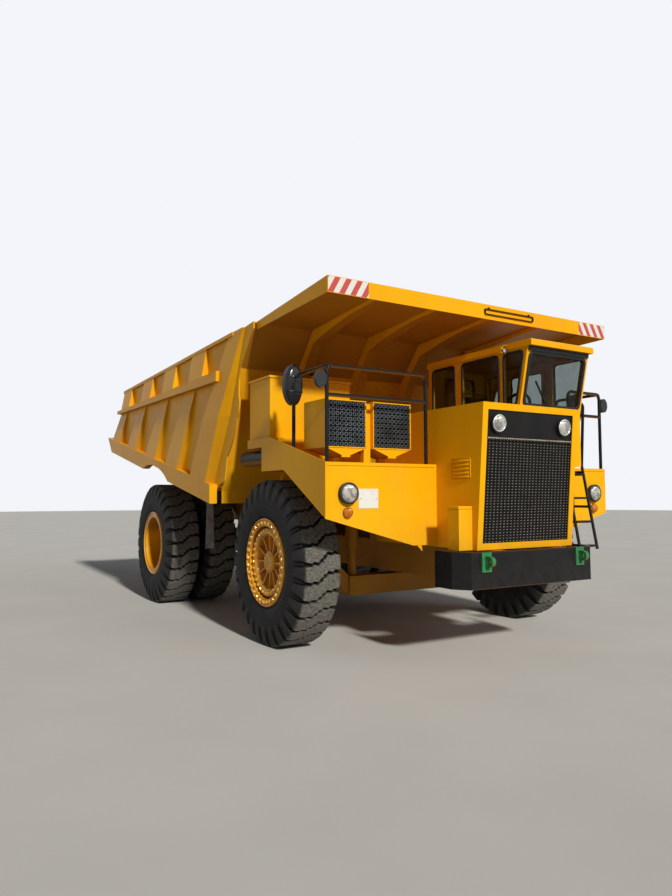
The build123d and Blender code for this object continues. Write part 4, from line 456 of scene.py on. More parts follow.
@dataclass(frozen=True)
class Lens(Recipe):
    """Fluted lamp lens whose colour is painted reflection of a bright reflector: pale and dark bands along
    the flutes, with painted glints.
    """

    # pale and dark colours of the painted reflection
    base: Rgb
    deep: Rgb
    flutes: float = 62.0
    dirt: Rgb = (0.3, 0.22, 0.12)

    def draw(self, g: Graph) -> None:
        """Adds the nodes of the finish.

        Args:
            g: graph of the material.
        """
        wave = g.node("ShaderNodeTexWave", wave_type="BANDS", bands_direction="X")
        wave.inputs["Scale"].default_value = self.flutes
        wave.inputs["Distortion"].default_value = 0.6
        g.link(g.place, wave.inputs["Vector"])
        dirt = g.ramp(g.noise(38.0, 6.0), 0.42, 0.8)
        # painted reflection: flute bands and glint noise move the colour between base and deep
        painted_glints = g.ramp(g.noise(17.0, 3.0, 0.6), 0.46, 0.56)
        relief = g.math("MULTIPLY", g.math("ADD", wave.outputs["Fac"], painted_glints), 0.45)
        body = g.mix(relief, self.base, self.deep)
        body = g.mix(g.math("MULTIPLY", dirt, 0.2), body, self.dirt)
        g.principled(Base_Color=body, Roughness=g.ramp(dirt, 0.0, 1.0, 0.08, 0.35), Metallic=0.25,
                     Normal=g.bump(wave.outputs["Fac"], 0.0015, 0.6), Coat_Weight=0.4)


@dataclass(frozen=True)
class Cloth(Recipe):
    """Woven seat cloth with a two-thread weave, pilling and sheen."""

    warp: Rgb
    weft: Rgb
    threads: float = 420.0
    bleached: Rgb = (0.16, 0.15, 0.14)

    def draw(self, g: Graph) -> None:
        """Adds the nodes of the finish.

        Args:
            g: graph of the material.
        """
        weave = None
        for direction in ("X", "Z"):
            wave = g.node("ShaderNodeTexWave", wave_type="BANDS", bands_direction=direction)
            wave.inputs["Scale"].default_value = self.threads
            g.link(g.place, wave.inputs["Vector"])
            weave = g.math("MAXIMUM", wave.outputs["Fac"], weave) if weave else wave.outputs["Fac"]
        fade = g.ramp(g.noise(11.0, 6.0), 0.35, 0.75)
        body = g.mix(g.math("MULTIPLY", weave, 0.8), self.warp, self.weft)
        body = g.mix(g.math("MULTIPLY", fade, 0.4), body, self.bleached)
        g.principled(Base_Color=body, Roughness=g.ramp(fade, 0.0, 1.0, 0.82, 0.95), Sheen_Weight=0.35,
                     Normal=g.bump(weave, 0.0006, 0.7))


@dataclass(frozen=True)
class Chevrons(Recipe):
    """Slanting red and white warning bands across X, faded and scratched."""

    red: Rgb
    white: Rgb
    pitch: float                   # width of a red and a white band together
    slant: float = 0.55
    worn: Rgb = (0.55, 0.36, 0.12)

    def draw(self, g: Graph) -> None:
        """Adds the nodes of the finish.

        Args:
            g: graph of the material.
        """
        split = g.node("ShaderNodeSeparateXYZ")
        g.link(g.place, split.inputs["Vector"])
        across = g.math("ADD", g.math("ABSOLUTE", split.outputs["X"], 0.0),
                        g.math("MULTIPLY", split.outputs["Z"], self.slant))
        band = g.math("FRACT", g.math("DIVIDE", across, self.pitch), 0.0)
        share = g.ramp(band, 0.485, 0.515)
        wear = g.ramp(g.noise(42.0, 8.0, 0.72), 0.6, 0.72)
        body = g.mix(share, self.white, self.red)
        body = g.mix(g.math("MULTIPLY", wear, 0.5), body, self.worn)
        g.principled(Base_Color=body, Roughness=g.ramp(wear, 0.0, 1.0, 0.3, 0.6),
                     Normal=g.bump(wear, 0.0004, 0.5))


@dataclass(frozen=True)
class Label(Recipe):
    """Blank white plate, chalky and a little stained."""

    white: Rgb = (0.78, 0.77, 0.72)
    stained: Rgb = (0.48, 0.4, 0.26)

    def draw(self, g: Graph) -> None:
        """Adds the nodes of the finish.

        Args:
            g: graph of the material.
        """
        stain = g.ramp(g.noise(24.0, 7.0, 0.7), 0.5, 0.8)
        body = g.mix(g.math("MULTIPLY", stain, 0.35), self.white, self.stained)
        g.principled(Base_Color=body, Roughness=g.ramp(stain, 0.0, 1.0, 0.35, 0.6),
                     Normal=g.bump(g.noise(150.0), 0.0004, 0.4))


class Finish(Enum):
    """The truck's finishes. The value is the recipe; material() makes it once."""

    YELLOW = Paint("yellow_enamel", (0.91, 0.455, 0.003), (0.86, 0.385, 0.003))
    # darker copy of the yellow enamel: painted shade for the parts under the truck
    SHADED_YELLOW = Paint("yellow_chassis_shaded", (0.48, 0.205, 0.007), (0.33, 0.13, 0.009), dust_top=2.0,
                         dust_share=0.5, chips=0.67, roughness=(0.4, 0.7), coat=0.0)
    RIM = Paint("yellow_wheel", (0.90, 0.42, 0.004), (0.80, 0.33, 0.005), dust_top=1.8, dust_share=0.25,
                chips=0.69, roughness=(0.22, 0.42), coat=0.15, gloss=0.3)
    GREY = Paint("dark_grey_enamel", (0.010, 0.010, 0.011), (0.017, 0.017, 0.018), dust=(0.07, 0.06, 0.05),
                 dust_top=1.2, dust_share=0.22, streaks=0.04, chips=0.70, roughness=(0.25, 0.45), gloss=0.12)
    BLACK = Paint("black_enamel", (0.009, 0.009, 0.010), (0.017, 0.0165, 0.016), dust=(0.09, 0.075, 0.06),
                  dust_top=1.5, dust_share=0.25, streaks=0.04, chips=0.7, roughness=(0.3, 0.52), gloss=0.10)
    GREEN = Paint("green_enamel", (0.012, 0.25, 0.08), (0.02, 0.19, 0.07), dust_share=0.3, chips=0.66)
    IRON = Paint("machinery_grey", (0.10, 0.10, 0.098), (0.065, 0.06, 0.055), dust=(0.14, 0.11, 0.075),
                 dust_top=2.4, dust_share=0.7, chips=0.65, roughness=(0.5, 0.75), coat=0.0)
    TYRE = Rubber("rock_tread_rubber")
    PLASTIC = Moulding("black_moulding", (0.016, 0.016, 0.017), (0.06, 0.058, 0.055))
    # grey metal, its pale bluish base partly painted highlight of the punched rims
    PUNCHED = Metal("punched_rim", (0.22, 0.255, 0.275), (0.07, 0.08, 0.088), 0.35, (0.16, 0.30))
    SHELL = Moulding("mirror_shell", (0.010, 0.010, 0.011), (0.03, 0.03, 0.03), (0.12, 0.28))
    GASKET = Moulding("window_rubber", (0.009, 0.009, 0.010), (0.035, 0.034, 0.033), (0.5, 0.75))
    MESH = Moulding("punched_mesh", (0.005, 0.005, 0.0055), (0.03, 0.028, 0.025), (0.45, 0.6), 90.0,
                    gloss=0.12)
    FILTER = Moulding("filter_face", (0.004, 0.004, 0.005), (0.012, 0.012, 0.012), (0.35, 0.5), 70.0,
                      gloss=0.08)
    STEEL = Metal("dull_steel", (0.42, 0.42, 0.41), (0.20, 0.16, 0.12), 0.6, (0.35, 0.6))
    CHROME = Metal("plated_chrome", (0.78, 0.78, 0.78), (0.52, 0.5, 0.46), 1.0, (0.06, 0.22))
    BOLT = Metal("bolt_zinc", (0.62, 0.58, 0.50), (0.36, 0.30, 0.22), 0.7, (0.3, 0.5))
    WHEEL_BOLT = Metal("bolt_painted", (0.95, 0.60, 0.10), (0.75, 0.40, 0.05), 0.45, (0.18, 0.36))
    # pale colour of the mesh's buttons: painted highlights at its crossings
    BUTTON_HIGHLIGHT = Metal("mesh_button", (0.22, 0.205, 0.175), (0.12, 0.105, 0.085), 0.3, (0.4, 0.65))
    GLASS = Pane("tinted_pane", (0.012, 0.016, 0.017))
    MIRROR = Metal("mirror_glass", (0.72, 0.75, 0.78), (0.6, 0.62, 0.64), 1.0, (0.03, 0.12))
    # both lenses carry painted reflection in their colour
    LENS = Lens("clear_lens", (0.72, 0.70, 0.64), (0.05, 0.05, 0.05))
    AMBER = Lens("amber_lens", (0.80, 0.25, 0.004), (0.45, 0.12, 0.002), 88.0)
    SEAT = Cloth("woven_cloth", (0.02, 0.02, 0.023), (0.055, 0.055, 0.06))
    STRIPES = Chevrons("warning_bands", (0.50, 0.05, 0.035), (0.72, 0.70, 0.66), 0.128)
    LABEL = Label("blank_plate")

    def material(self) -> bpy.types.Material:
        """The material of this finish, made at its first use."""
        return bpy.data.materials.get(self.value.name) or self.value.build()


NODE_FINISHES = {
    Finish.YELLOW: ("hood", "fender_right", "fender_left", "deck_tank", "air_cleaners", "cab_shell",
                    "cab_door", "body_side_right", "body_side_left", "body_front_wall", "canopy",
                    "body_floor"),
    # parts under the truck take the darker yellow, painted shade
    Finish.SHADED_YELLOW: ("frame_rails", "front_axle", "knuckle_right", "knuckle_left",
                          "rear_axle", "suspension_struts", "fuel_tank", "hydraulic_tank",
                          "hoist_barrel_right", "hoist_barrel_left"),
    Finish.RIM: ("rim_front_right", "rim_front_left", "rims_rear_right", "rims_rear_left"),
    Finish.GREY: ("bumper",),
    Finish.BLACK: ("handrails", "ladder", "grille", "air_reservoir"),
    Finish.GREEN: ("tow_hooks",),
    Finish.IRON: ("engine", "gearbox", "driveshaft"),
    Finish.PLASTIC: ("mirrors", "steering_column", "lamps"),
    Finish.STEEL: ("rock_ejectors",),
    Finish.CHROME: ("hoist_rod_right", "hoist_rod_left"),
    Finish.GLASS: ("cab_glass", "door_glass"),
    Finish.SEAT: ("seat",),
}


# Slot of the record for a piece in each finish, unless it names another; Shape.build looks it up but applies
# it nowhere
SLOTS = {
    Finish.YELLOW: "yellow_paint", Finish.RIM: "rim_yellow", Finish.WHEEL_BOLT: "rim_yellow",
    Finish.GREY: "dark_grey_paint", Finish.BLACK: "black_paint", Finish.MESH: "black_paint",
    Finish.TYRE: "tyre_rubber", Finish.CHROME: "rod_chrome", Finish.MIRROR: "rod_chrome",
    Finish.STEEL: "grey_steel", Finish.BOLT: "grey_steel", Finish.BUTTON_HIGHLIGHT: "grey_steel",
    Finish.PLASTIC: "black_plastic", Finish.GASKET: "black_plastic", Finish.FILTER: "black_plastic",
    Finish.PUNCHED: "black_plastic", Finish.SHELL: "black_plastic", Finish.SEAT: "seat_cloth",
}


def dress_nodes() -> None:
    """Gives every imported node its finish."""
    for finish, names in NODE_FINISHES.items():
        for name in names:
            for slot in frame["nodes"][name].material_slots:
                slot.material = finish.material()
            LOG.info("%s wears %s", name, finish.name)


def ring(middle: Vector, u: Vector, v: Vector, radius: float, steps: int) -> list[Vec]:
    """Points of a circle.

    Args:
        middle: its middle.
        u: direction of its first point.
        v: direction of the point a quarter turn on.
        radius: its radius.
        steps: how many points it has.

    Returns:
        The points in order.
    """
    return [tuple(middle + (u * math.cos(t) + v * math.sin(t)) * radius)
            for t in (2 * math.pi * k / steps for k in range(steps))]


def bend(before: Vector, at: Vector, after: Vector, reach: float, steps: int) -> list[Vector]:
    """Points round one corner of a route.

    Args:
        before: the route's point before the corner.
        at: the corner.
        after: the point after it.
        reach: how far from the corner its bend starts and ends.
        steps: how many runs the bend has.

    Returns:
        The bend's points, both ends included.
    """
    a = at + (before - at).normalized() * reach
    b = at + (after - at).normalized() * reach
    return [a.lerp(at, t).lerp(at.lerp(b, t), t) for t in (k / steps for k in range(steps + 1))]


class Shape:
    """Mesh being built in the row frame, in metres."""

    # Section of a domed trim strip with the groove of its locking strip: shares of width and height
    TRIM = ((-0.5, -0.1), (-0.5, 0.45), (-0.38, 0.85), (-0.12, 1.0), (0.02, 0.8), (0.16, 1.0),
            (0.38, 0.85), (0.5, 0.45), (0.5, -0.1))

    def __init__(self) -> None:
        """Starts empty."""
        self.points: list[Vec] = []
        self.faces: list[Sequence[int]] = []
        self.worn: list[float] = []

    def add(self, points: Sequence[Vec], faces: Sequence[Sequence[int]],
            worn: Optional[Sequence[float]] = None) -> None:
        """Adds points and the faces between them.

        Args:
            points: the points.
            faces: rows of indices into points.
            worn: a wear value for each point, or None for 0.
        """
        start = len(self.points)
        self.points.extend(tuple(p) for p in points)
        self.faces.extend([start + i for i in face] for face in faces)
        self.worn.extend(worn if worn else [0.0] * len(points))

    def grid(self, rows: Sequence[Sequence[Vec]], loop: bool = False, close: bool = False,
             worn: Optional[Sequence[Sequence[float]]] = None) -> None:
        """Adds a skin through rows of points.

        Args:
            rows: rows of equal length.
            loop: True if each row's end joins its start.
            close: True if the last row joins the first.
            worn: wear values in the same rows.
        """
        across, down = len(rows[0]), len(rows)
        faces = []
        for i in range(down if close else down - 1):
            for j in range(across if loop else across - 1):
                a, b = i * across, ((i + 1) % down) * across
                k = (j + 1) % across
                faces.append((a + j, a + k, b + k, b + j))
        flat = [v for row in worn for v in row] if worn else None
        self.add([p for row in rows for p in row], faces, flat)

    def lathe(self, profile: Sequence[Flat], centre: Vec, axis: Vec, steps: int = 48,
              closed: bool = False) -> None:
        """Turns a profile round an axis.

        Args:
            profile: (distance along the axis, radius) rows.
            centre: point on the axis.
            axis: direction of the axis.
            steps: facets in a turn.
            closed: True if the profile's end joins its start.
        """
        along = Vector(axis).normalized()
        u = along.orthogonal().normalized()
        v = along.cross(u)
        rows = [ring(Vector(centre) + along * a, u, v, max(r, 1e-5), steps) for a, r in profile]
        self.grid(rows, loop=True, close=closed)
        if not closed:
            self.cap_ends(rows)

    def cap_ends(self, rows: Sequence[Sequence[Vec]]) -> None:
        """Closes a skin's first and last row with a face each."""
        for row, turn in ((rows[0], -1), (rows[-1], 1)):
            self.add(row, [list(range(len(row)))[::turn]])

    def plate(self, outline: Sequence[Vec], thickness: Vec) -> None:
        """Adds a flat plate.

        Args:
            outline: corners of one face, in order.
            thickness: offset of the other face.
        """
        n = len(outline)
        far = [tuple(Vector(p) + Vector(thickness)) for p in outline]
        sides = [(i, (i + 1) % n, n + (i + 1) % n, n + i) for i in range(n)]
        self.add([*outline, *far], [list(range(n))[::-1], list(range(n, 2 * n)), *sides])

    def box(self, low: Vec, high: Vec) -> None:
        """Adds a block between two corners; its edges are rounded when it is built."""
        (x0, y0, z0), (x1, y1, z1) = low, high
        self.plate([(x0, y0, z0), (x1, y0, z0), (x1, y1, z0), (x0, y1, z0)], (0, 0, z1 - z0))

    def tube(self, route: Sequence[Vec], radius: float, steps: int = 12, reach: float = 0.0) -> None:
        """Adds a round bar along a route.

        Args:
            route: corner points.
            radius: radius of the bar.
            steps: facets round it.
            reach: how far from each corner its bend starts, 0 for a sharp corner.
        """
        line = [Vector(p) for p in route]
        if reach:
            corners = zip(line, line[1:], line[2:])
            line = [line[0], *(p for corner in corners for p in bend(*corner, reach, 4)), line[-1]]
        rows, side = [], (line[1] - line[0]).orthogonal().normalized()
        for i, point in enumerate(line):
            ahead = (line[min(i + 1, len(line) - 1)] - line[max(i - 1, 0)]).normalized()
            side = (side - ahead * side.dot(ahead)).normalized()
            rows.append(ring(point, side, ahead.cross(side), radius, steps))
        self.grid(rows, loop=True)
        self.cap_ends(rows)

    def trim(self, corners: Sequence[Vec], out: Vec, width: float, proud: float, reach: float) -> None:
        """Adds a domed strip round a closed outline with rounded corners.

        Args:
            corners: corners of the outline, in order.
            out: direction away from the surface.
            width: width of the strip.
            proud: its height over the surface.
            reach: how far from each corner its bend starts.
        """
        up = Vector(out).normalized()
        stops = [Vector(corner) for corner in corners]
        line = []
        for i, at in enumerate(stops):
            line += bend(stops[i - 1], at, stops[(i + 1) % len(stops)], reach, 4)
        rows = []
        for i, point in enumerate(line):
            ahead = (line[(i + 1) % len(line)] - line[i - 1]).normalized()
            across = ahead.cross(up).normalized()
            rows.append([tuple(point + across * (width * a) + up * (proud * b)) for a, b in self.TRIM])
        self.grid(rows, loop=True, close=True)

    def band(self, route: Sequence[Vec], across: Vec, width: float, thick: float, reach: float) -> None:
        """Adds a flat strap along a route.

        Args:
            route: corner points of its inner face.
            across: direction of its width.
            width: its width.
            thick: its thickness.
            reach: how far from each corner its bend starts.
        """
        side = Vector(across).normalized()
        stops = [Vector(p) for p in route]
        corners = zip(stops, stops[1:], stops[2:])
        line = [stops[0], *(p for corner in corners for p in bend(*corner, reach, 5)), stops[-1]]
        rows = []
        for i, point in enumerate(line):
            ahead = (line[min(i + 1, len(line) - 1)] - line[max(i - 1, 0)]).normalized()
            out = side.cross(ahead).normalized() * thick
            if out.dot(point - sum(line, Vector()) / len(line)) < 0:
                out = -out
            rows.append([tuple(point + side * a + out * b) for a, b in
                         ((-width / 2, 0.0), (-width / 2, 1.0), (width / 2, 1.0), (width / 2, 0.0))])
        self.grid(rows, loop=True)
        for row in (rows[0], rows[-1]):
            self.add(row, [[0, 1, 2, 3]])

    def bolt(self, at: Vec, out: Vec, across: float, tall: float = 0.0) -> None:
        """Adds a washer with a chamfered hexagon head.

        Args:
            at: middle of the seat.
            out: direction that the head points.
            across: width of the hexagon.
            tall: height of the head, or 0 for two thirds of the width.
        """
        tall = tall or across * 0.66
        r = across / math.sqrt(3.0)
        washer = [(0.0, across * 0.78), (across * 0.10, across * 0.78), (across * 0.10, r * 0.9)]
        self.lathe(washer, at, out, 12)
        self.lathe([(across * 0.08, r), (tall * 0.82, r), (tall, r * 0.84)], at, out, 6)

    def turned(self, centre: Vec, axis: Vec, count: int, start: float = 0.0) -> None:
        """Repeats everything added so far round an axis.

        Args:
            centre: point on the axis.
            axis: direction of the axis.
            count: how many copies in a turn, the first included.
            start: angle of the first, in radians.
        """
        points, faces, worn = self.points, self.faces, self.worn
        self.points, self.faces, self.worn = [], [], []
        for k in range(count):
            turn = Matrix.Rotation(start + 2 * math.pi * k / count, 4, Vector(axis))
            move = Matrix.Translation(centre) @ turn @ Matrix.Translation(-Vector(centre))
            self.add([tuple(move @ Vector(p)) for p in points], faces, worn)

    def build(self, name: str, finish: Finish, body: str, slot: Optional[str] = None, edge: float = 0.0,
              smooth: float = 35.0) -> bpy.types.Object:
        """Makes the object and hangs it on its body.

        Args:
            name: name of the piece.
            finish: its finish.
            body: body that it rides on.
            slot: material slot of the record, or None for the finish's own; not used.
            edge: width of the rounding of its edges, 0 for none.
            smooth: greatest angle that is shaded smooth, in degrees.

        Returns:
            The piece.
        """
        mesh = bpy.data.meshes.new(name)
        mesh.from_pydata(self.points, [], self.faces)
        mesh.validate()
        if any(self.worn):
            mesh.attributes.new("worn", "FLOAT", "POINT").data.foreach_set("value", self.worn)
        skin = bmesh.new()
        skin.from_mesh(mesh)
        bmesh.ops.recalc_face_normals(skin, faces=skin.faces)
        skin.to_mesh(mesh)
        skin.free()
        piece = bpy.data.objects.new(name, mesh)
        bpy.context.scene.collection.objects.link(piece)
        mesh.materials.append(finish.material())
        if edge:
            rounding = piece.modifiers.new("rounding", "BEVEL")
            rounding.width, rounding.segments, rounding.limit_method = edge, 2, "ANGLE"
            rounding.angle_limit = math.radians(40.0)
        mesh.shade_smooth()
        mesh.set_sharp_from_angle(angle=math.radians(smooth))
        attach(piece, body)
        slot = slot or SLOTS.get(finish)
        LOG.info("made %s on %s: %d faces", name, body, len(mesh.polygons))
        return piece


@dataclass
class Tyre:
    """Rock-tread tyre: a turned carcass with two staggered rows of Z-shaped lugs."""

    middle_x: float
    axle_y: float
    lugs: int = 29
    lug_share: float = 0.97        # of the pitch, at the crown
    foot_share: float = 1.02       # of a lug's width, at its foot
    lug_edge: float = 0.005        # height of the rounding of its edges
    fin_half: float = 0.055        # half of a fin's width, of the pitch
    facets: int = 120

    # Tops and feet of a lug, from the crown's middle down the wall:
    # x, radius, share of the width, shift round the tyre, x of the foot, radius of the foot
    LUG = (
        (0.0, 0.9045, 0.80, 0.20, 0.0, 0.858),
        (0.034, 0.9045, 0.84, 0.13, 0.034, 0.858),
        (0.052, 0.9045, 0.86, -0.02, 0.052, 0.858),
        (0.112, 0.9045, 0.88, 0.03, 0.111, 0.855),
        (0.128, 0.9045, 0.86, -0.06, 0.127, 0.854),
        (0.184, 0.9040, 0.80, -0.03, 0.174, 0.846),
        (0.203, 0.8970, 0.74, -0.03, 0.188, 0.836),
        (0.212, 0.8780, 0.70, -0.02, 0.196, 0.822),
        (0.227, 0.8360, 0.64, 0.0, 0.212, 0.792),
        (0.238, 0.7950, 0.60, 0.0, 0.2265, 0.760),
        (0.2465, 0.7450, 0.54, 0.0, 0.2385, 0.726),
        (0.2478, 0.6950, 0.44, 0.0, 0.2457, 0.690),
    )
    # Fin in the slot between two lugs, down the shoulder: x, radius, foot x, foot radius
    FIN = (
        (0.196, 0.850, 0.186, 0.840), (0.214, 0.842, 0.202, 0.816), (0.227, 0.812, 0.2165, 0.786),
        (0.238, 0.776, 0.229, 0.756), (0.2455, 0.738, 0.2385, 0.726), (0.2482, 0.690, 0.2470, 0.688),
        (0.2480, 0.655, 0.2476, 0.652),
    )
    # Places across a lug and across a fin with its two feet, as shares of half the width
    ACROSS = (-1.0, -0.94, -0.4, 0.4, 0.94, 1.0)
    ACROSS_FIN = (-1.5, -0.7, 0.7, 1.5)
    # Half of the carcass's section, from the bead to the crown: x, radius
    CARCASS = (
        (0.190, 0.4200), (0.203, 0.4400), (0.2090, 0.4840), (0.2140, 0.4960), (0.2260, 0.5010),
        (0.2330, 0.5150), (0.2320, 0.5200), (0.2370, 0.5360), (0.2440, 0.5700), (0.2465, 0.5940),
        (0.2490, 0.5960), (0.2490, 0.6040), (0.2470, 0.6060), (0.2480, 0.6400), (0.2475, 0.6900),
        (0.2400, 0.7300), (0.2240, 0.7700), (0.2060, 0.8080), (0.1900, 0.8360), (0.1700, 0.8480),
        (0.0900, 0.8570),
    )

    def point(self, x: float, radius: float, angle: float) -> Vec:
        """Point of the tyre at an offset from its middle, a radius and an angle."""
        return (self.middle_x + x, self.axle_y - radius * math.sin(angle),
                AXLE_Z + radius * math.cos(angle))

    def carcass(self, shape: Shape) -> None:
        """Adds the turned carcass.

        Args:
            shape: where it goes.
        """
        half = list(self.CARCASS)
        section = half + [(-x, r) for x, r in reversed(half)] + [(-0.180, 0.4200), (0.180, 0.4200)]
        turns = [2 * math.pi * i / self.facets for i in range(self.facets)]
        rows = [[self.point(x, r, turn) for turn in turns] for x, r in section]
        shape.grid(rows, loop=True, close=True)

    def lug(self, shape: Shape, side: int, angle: float) -> None:
        """Adds one lug.

        Args:
            shape: where it goes.
            side: 1 or -1, the half of the tread.
            angle: angle of its middle.
        """
        pitch = 2 * math.pi / self.lugs
        rows, worn = [], []
        for x, r, width, shift, foot_x, foot_r in self.LUG:
            middle = angle + side * shift * pitch
            half = self.lug_share * width * pitch / 2
            row = [self.point(side * foot_x, foot_r, middle - half * self.foot_share)]
            for t in self.ACROSS:
                drop = self.lug_edge if abs(t) == 1.0 else 0.0
                row.append(self.point(side * x, r - drop, middle + half * t))
            row.append(self.point(side * foot_x, foot_r, middle + half * self.foot_share))
            rows.append(row)
            top = 1.0 if r > 0.9 else (0.55 if r > 0.88 else 0.12)      # crown, shoulder, wall
            worn.append([0.0, top * 0.5, top, top, top, top, top * 0.5, 0.0])
        if side < 0:
            rows, worn = [row[::-1] for row in rows], [row[::-1] for row in worn]
        shape.grid(rows, worn=worn)
        first = len(shape.points) - len(rows) * len(rows[0])
        shape.faces.append([first + i for i in range(len(rows[0]))])

    def fin(self, shape: Shape, side: int, angle: float) -> None:
        """Adds one thin fin of the shoulder.

        Args:
            shape: where it goes.
            side: 1 or -1, the half of the tread.
            angle: angle of its middle.
        """
        half = self.fin_half * 2 * math.pi / self.lugs
        rows = []
        for x, r, foot_x, foot_r in self.FIN:
            ends = ((foot_x, foot_r), (x, r), (x, r), (foot_x, foot_r))
            row = [self.point(side * a, b, angle + half * t) for (a, b), t in zip(ends, self.ACROSS_FIN)]
            rows.append(row if side > 0 else row[::-1])
        shape.grid(rows)

    def add_to(self, shape: Shape) -> None:
        """Adds the whole tyre.

        Args:
            shape: where it goes.
        """
        self.carcass(shape)
        pitch = 2 * math.pi / self.lugs
        for k in range(self.lugs):
            self.lug(shape, 1, k * pitch)
            self.lug(shape, -1, (k + 0.5) * pitch)
            self.fin(shape, 1, (k + 0.5) * pitch)
            self.fin(shape, -1, k * pitch)


@dataclass
class TyreSet:
    """All six tyres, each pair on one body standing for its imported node."""

    front_offset: float
    rear_offsets: tuple[float, float]

    def build(self) -> None:
        """Makes the tyres of both axles."""
        for side in Side:
            front = Shape()
            Tyre(side.value * self.front_offset, FRONT_AXLE_Y).add_to(front)
            self.hang(front, f"tyre_front_{side.word}", f"front_wheel_{side.word}")
            rear = Shape()
            for offset in self.rear_offsets:
                Tyre(side.value * offset, REAR_AXLE_Y).add_to(rear)
            self.hang(rear, f"tyres_rear_{side.word}", f"rear_wheels_{side.word}")

    def hang(self, shape: Shape, node: str, body: str) -> None:
        """Builds one body's tyres in place of their node."""
        piece = shape.build(f"tread_{node}", Finish.TYRE, body, smooth=22.0)
        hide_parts(node)


@dataclass(frozen=True)
class Leaning:
    """Flat face that runs across X and leans with height, such as the hood's front."""

    foot: Flat
    head: Flat

    def out(self) -> Vector:
        """Direction away from the face, forward."""
        along = Vector((0.0, self.head[0] - self.foot[0], self.head[1] - self.foot[1])).normalized()
        return Vector((0.0, -along.z, along.y))

    def at(self, x: float, z: float, proud: float = 0.0) -> Vec:
        """Point on the face, or before it.

        Args:
            x: place across.
            z: height, measured on the face.
            proud: distance before the face, negative for behind it.

        Returns:
            The point.
        """
        share = (z - self.foot[1]) / (self.head[1] - self.foot[1])
        y = self.foot[0] + share * (self.head[0] - self.foot[0])
        return tuple(Vector((x, y, z)) + self.out() * proud)


HOOD_FACE = Leaning((-4.1865, 1.106), (-4.3075, 2.533))
CAB_FACE = Leaning((-3.9275, 2.54), (-4.0675, 3.215))


@dataclass
class WheelTrim:
    """Bolts, bead ring and valve of the wheels of one side at one axle."""

    side: Side
    axle_y: float
    body: str
    bead_x: float
    bead_radius: float
    bolts: Sequence[tuple[float, float, int, float]]    # place along X, radius, count, width of the heads
    valve: Flat                                         # place along X, radius
    bead_bar: float = 0.011        # radius of the ring's section
    first_bolt: float = 0.05       # angle of each circle's first bolt

    # Stem of the valve: how far out it is, and its Y and Z as shares of the valve's radius
    STEM = ((0.0, 0.6, -0.8), (0.045, 0.58, -0.775), (0.062, 0.5, -0.67))

    def build(self) -> None:
        """Makes the pieces."""
        s = self.side.value
        centre = (0.0, self.axle_y, AXLE_Z)
        heads = Shape()
        for x, radius, count, across in self.bolts:
            circle = Shape()
            circle.bolt((s * x, self.axle_y, AXLE_Z + radius), (s, 0.0, 0.0), across)
            circle.turned(centre, (1.0, 0.0, 0.0), count, self.first_bolt)
            heads.add(circle.points, circle.faces, circle.worn)
        heads.build(f"wheel_bolts_{self.body}", Finish.WHEEL_BOLT, self.body)
        bead = Shape()
        turns = [math.pi * k / 4 for k in range(8)]
        section = [(s * (self.bead_x + self.bead_bar * math.cos(t)),
                    self.bead_radius + self.bead_bar * math.sin(t)) for t in turns]
        bead.lathe(section, centre, (1.0, 0.0, 0.0), 96, closed=True)
        bead.build(f"bead_ring_{self.body}", Finish.RIM, self.body, smooth=60.0)
        stem = Shape()
        x, radius = self.valve
        stem.tube([(s * (x + out), self.axle_y + radius * y, AXLE_Z + radius * z) for out, y, z in self.STEM],
                  0.006, 10, 0.012)
        stem.build(f"valve_{self.body}", Finish.CHROME, self.body, smooth=50.0)


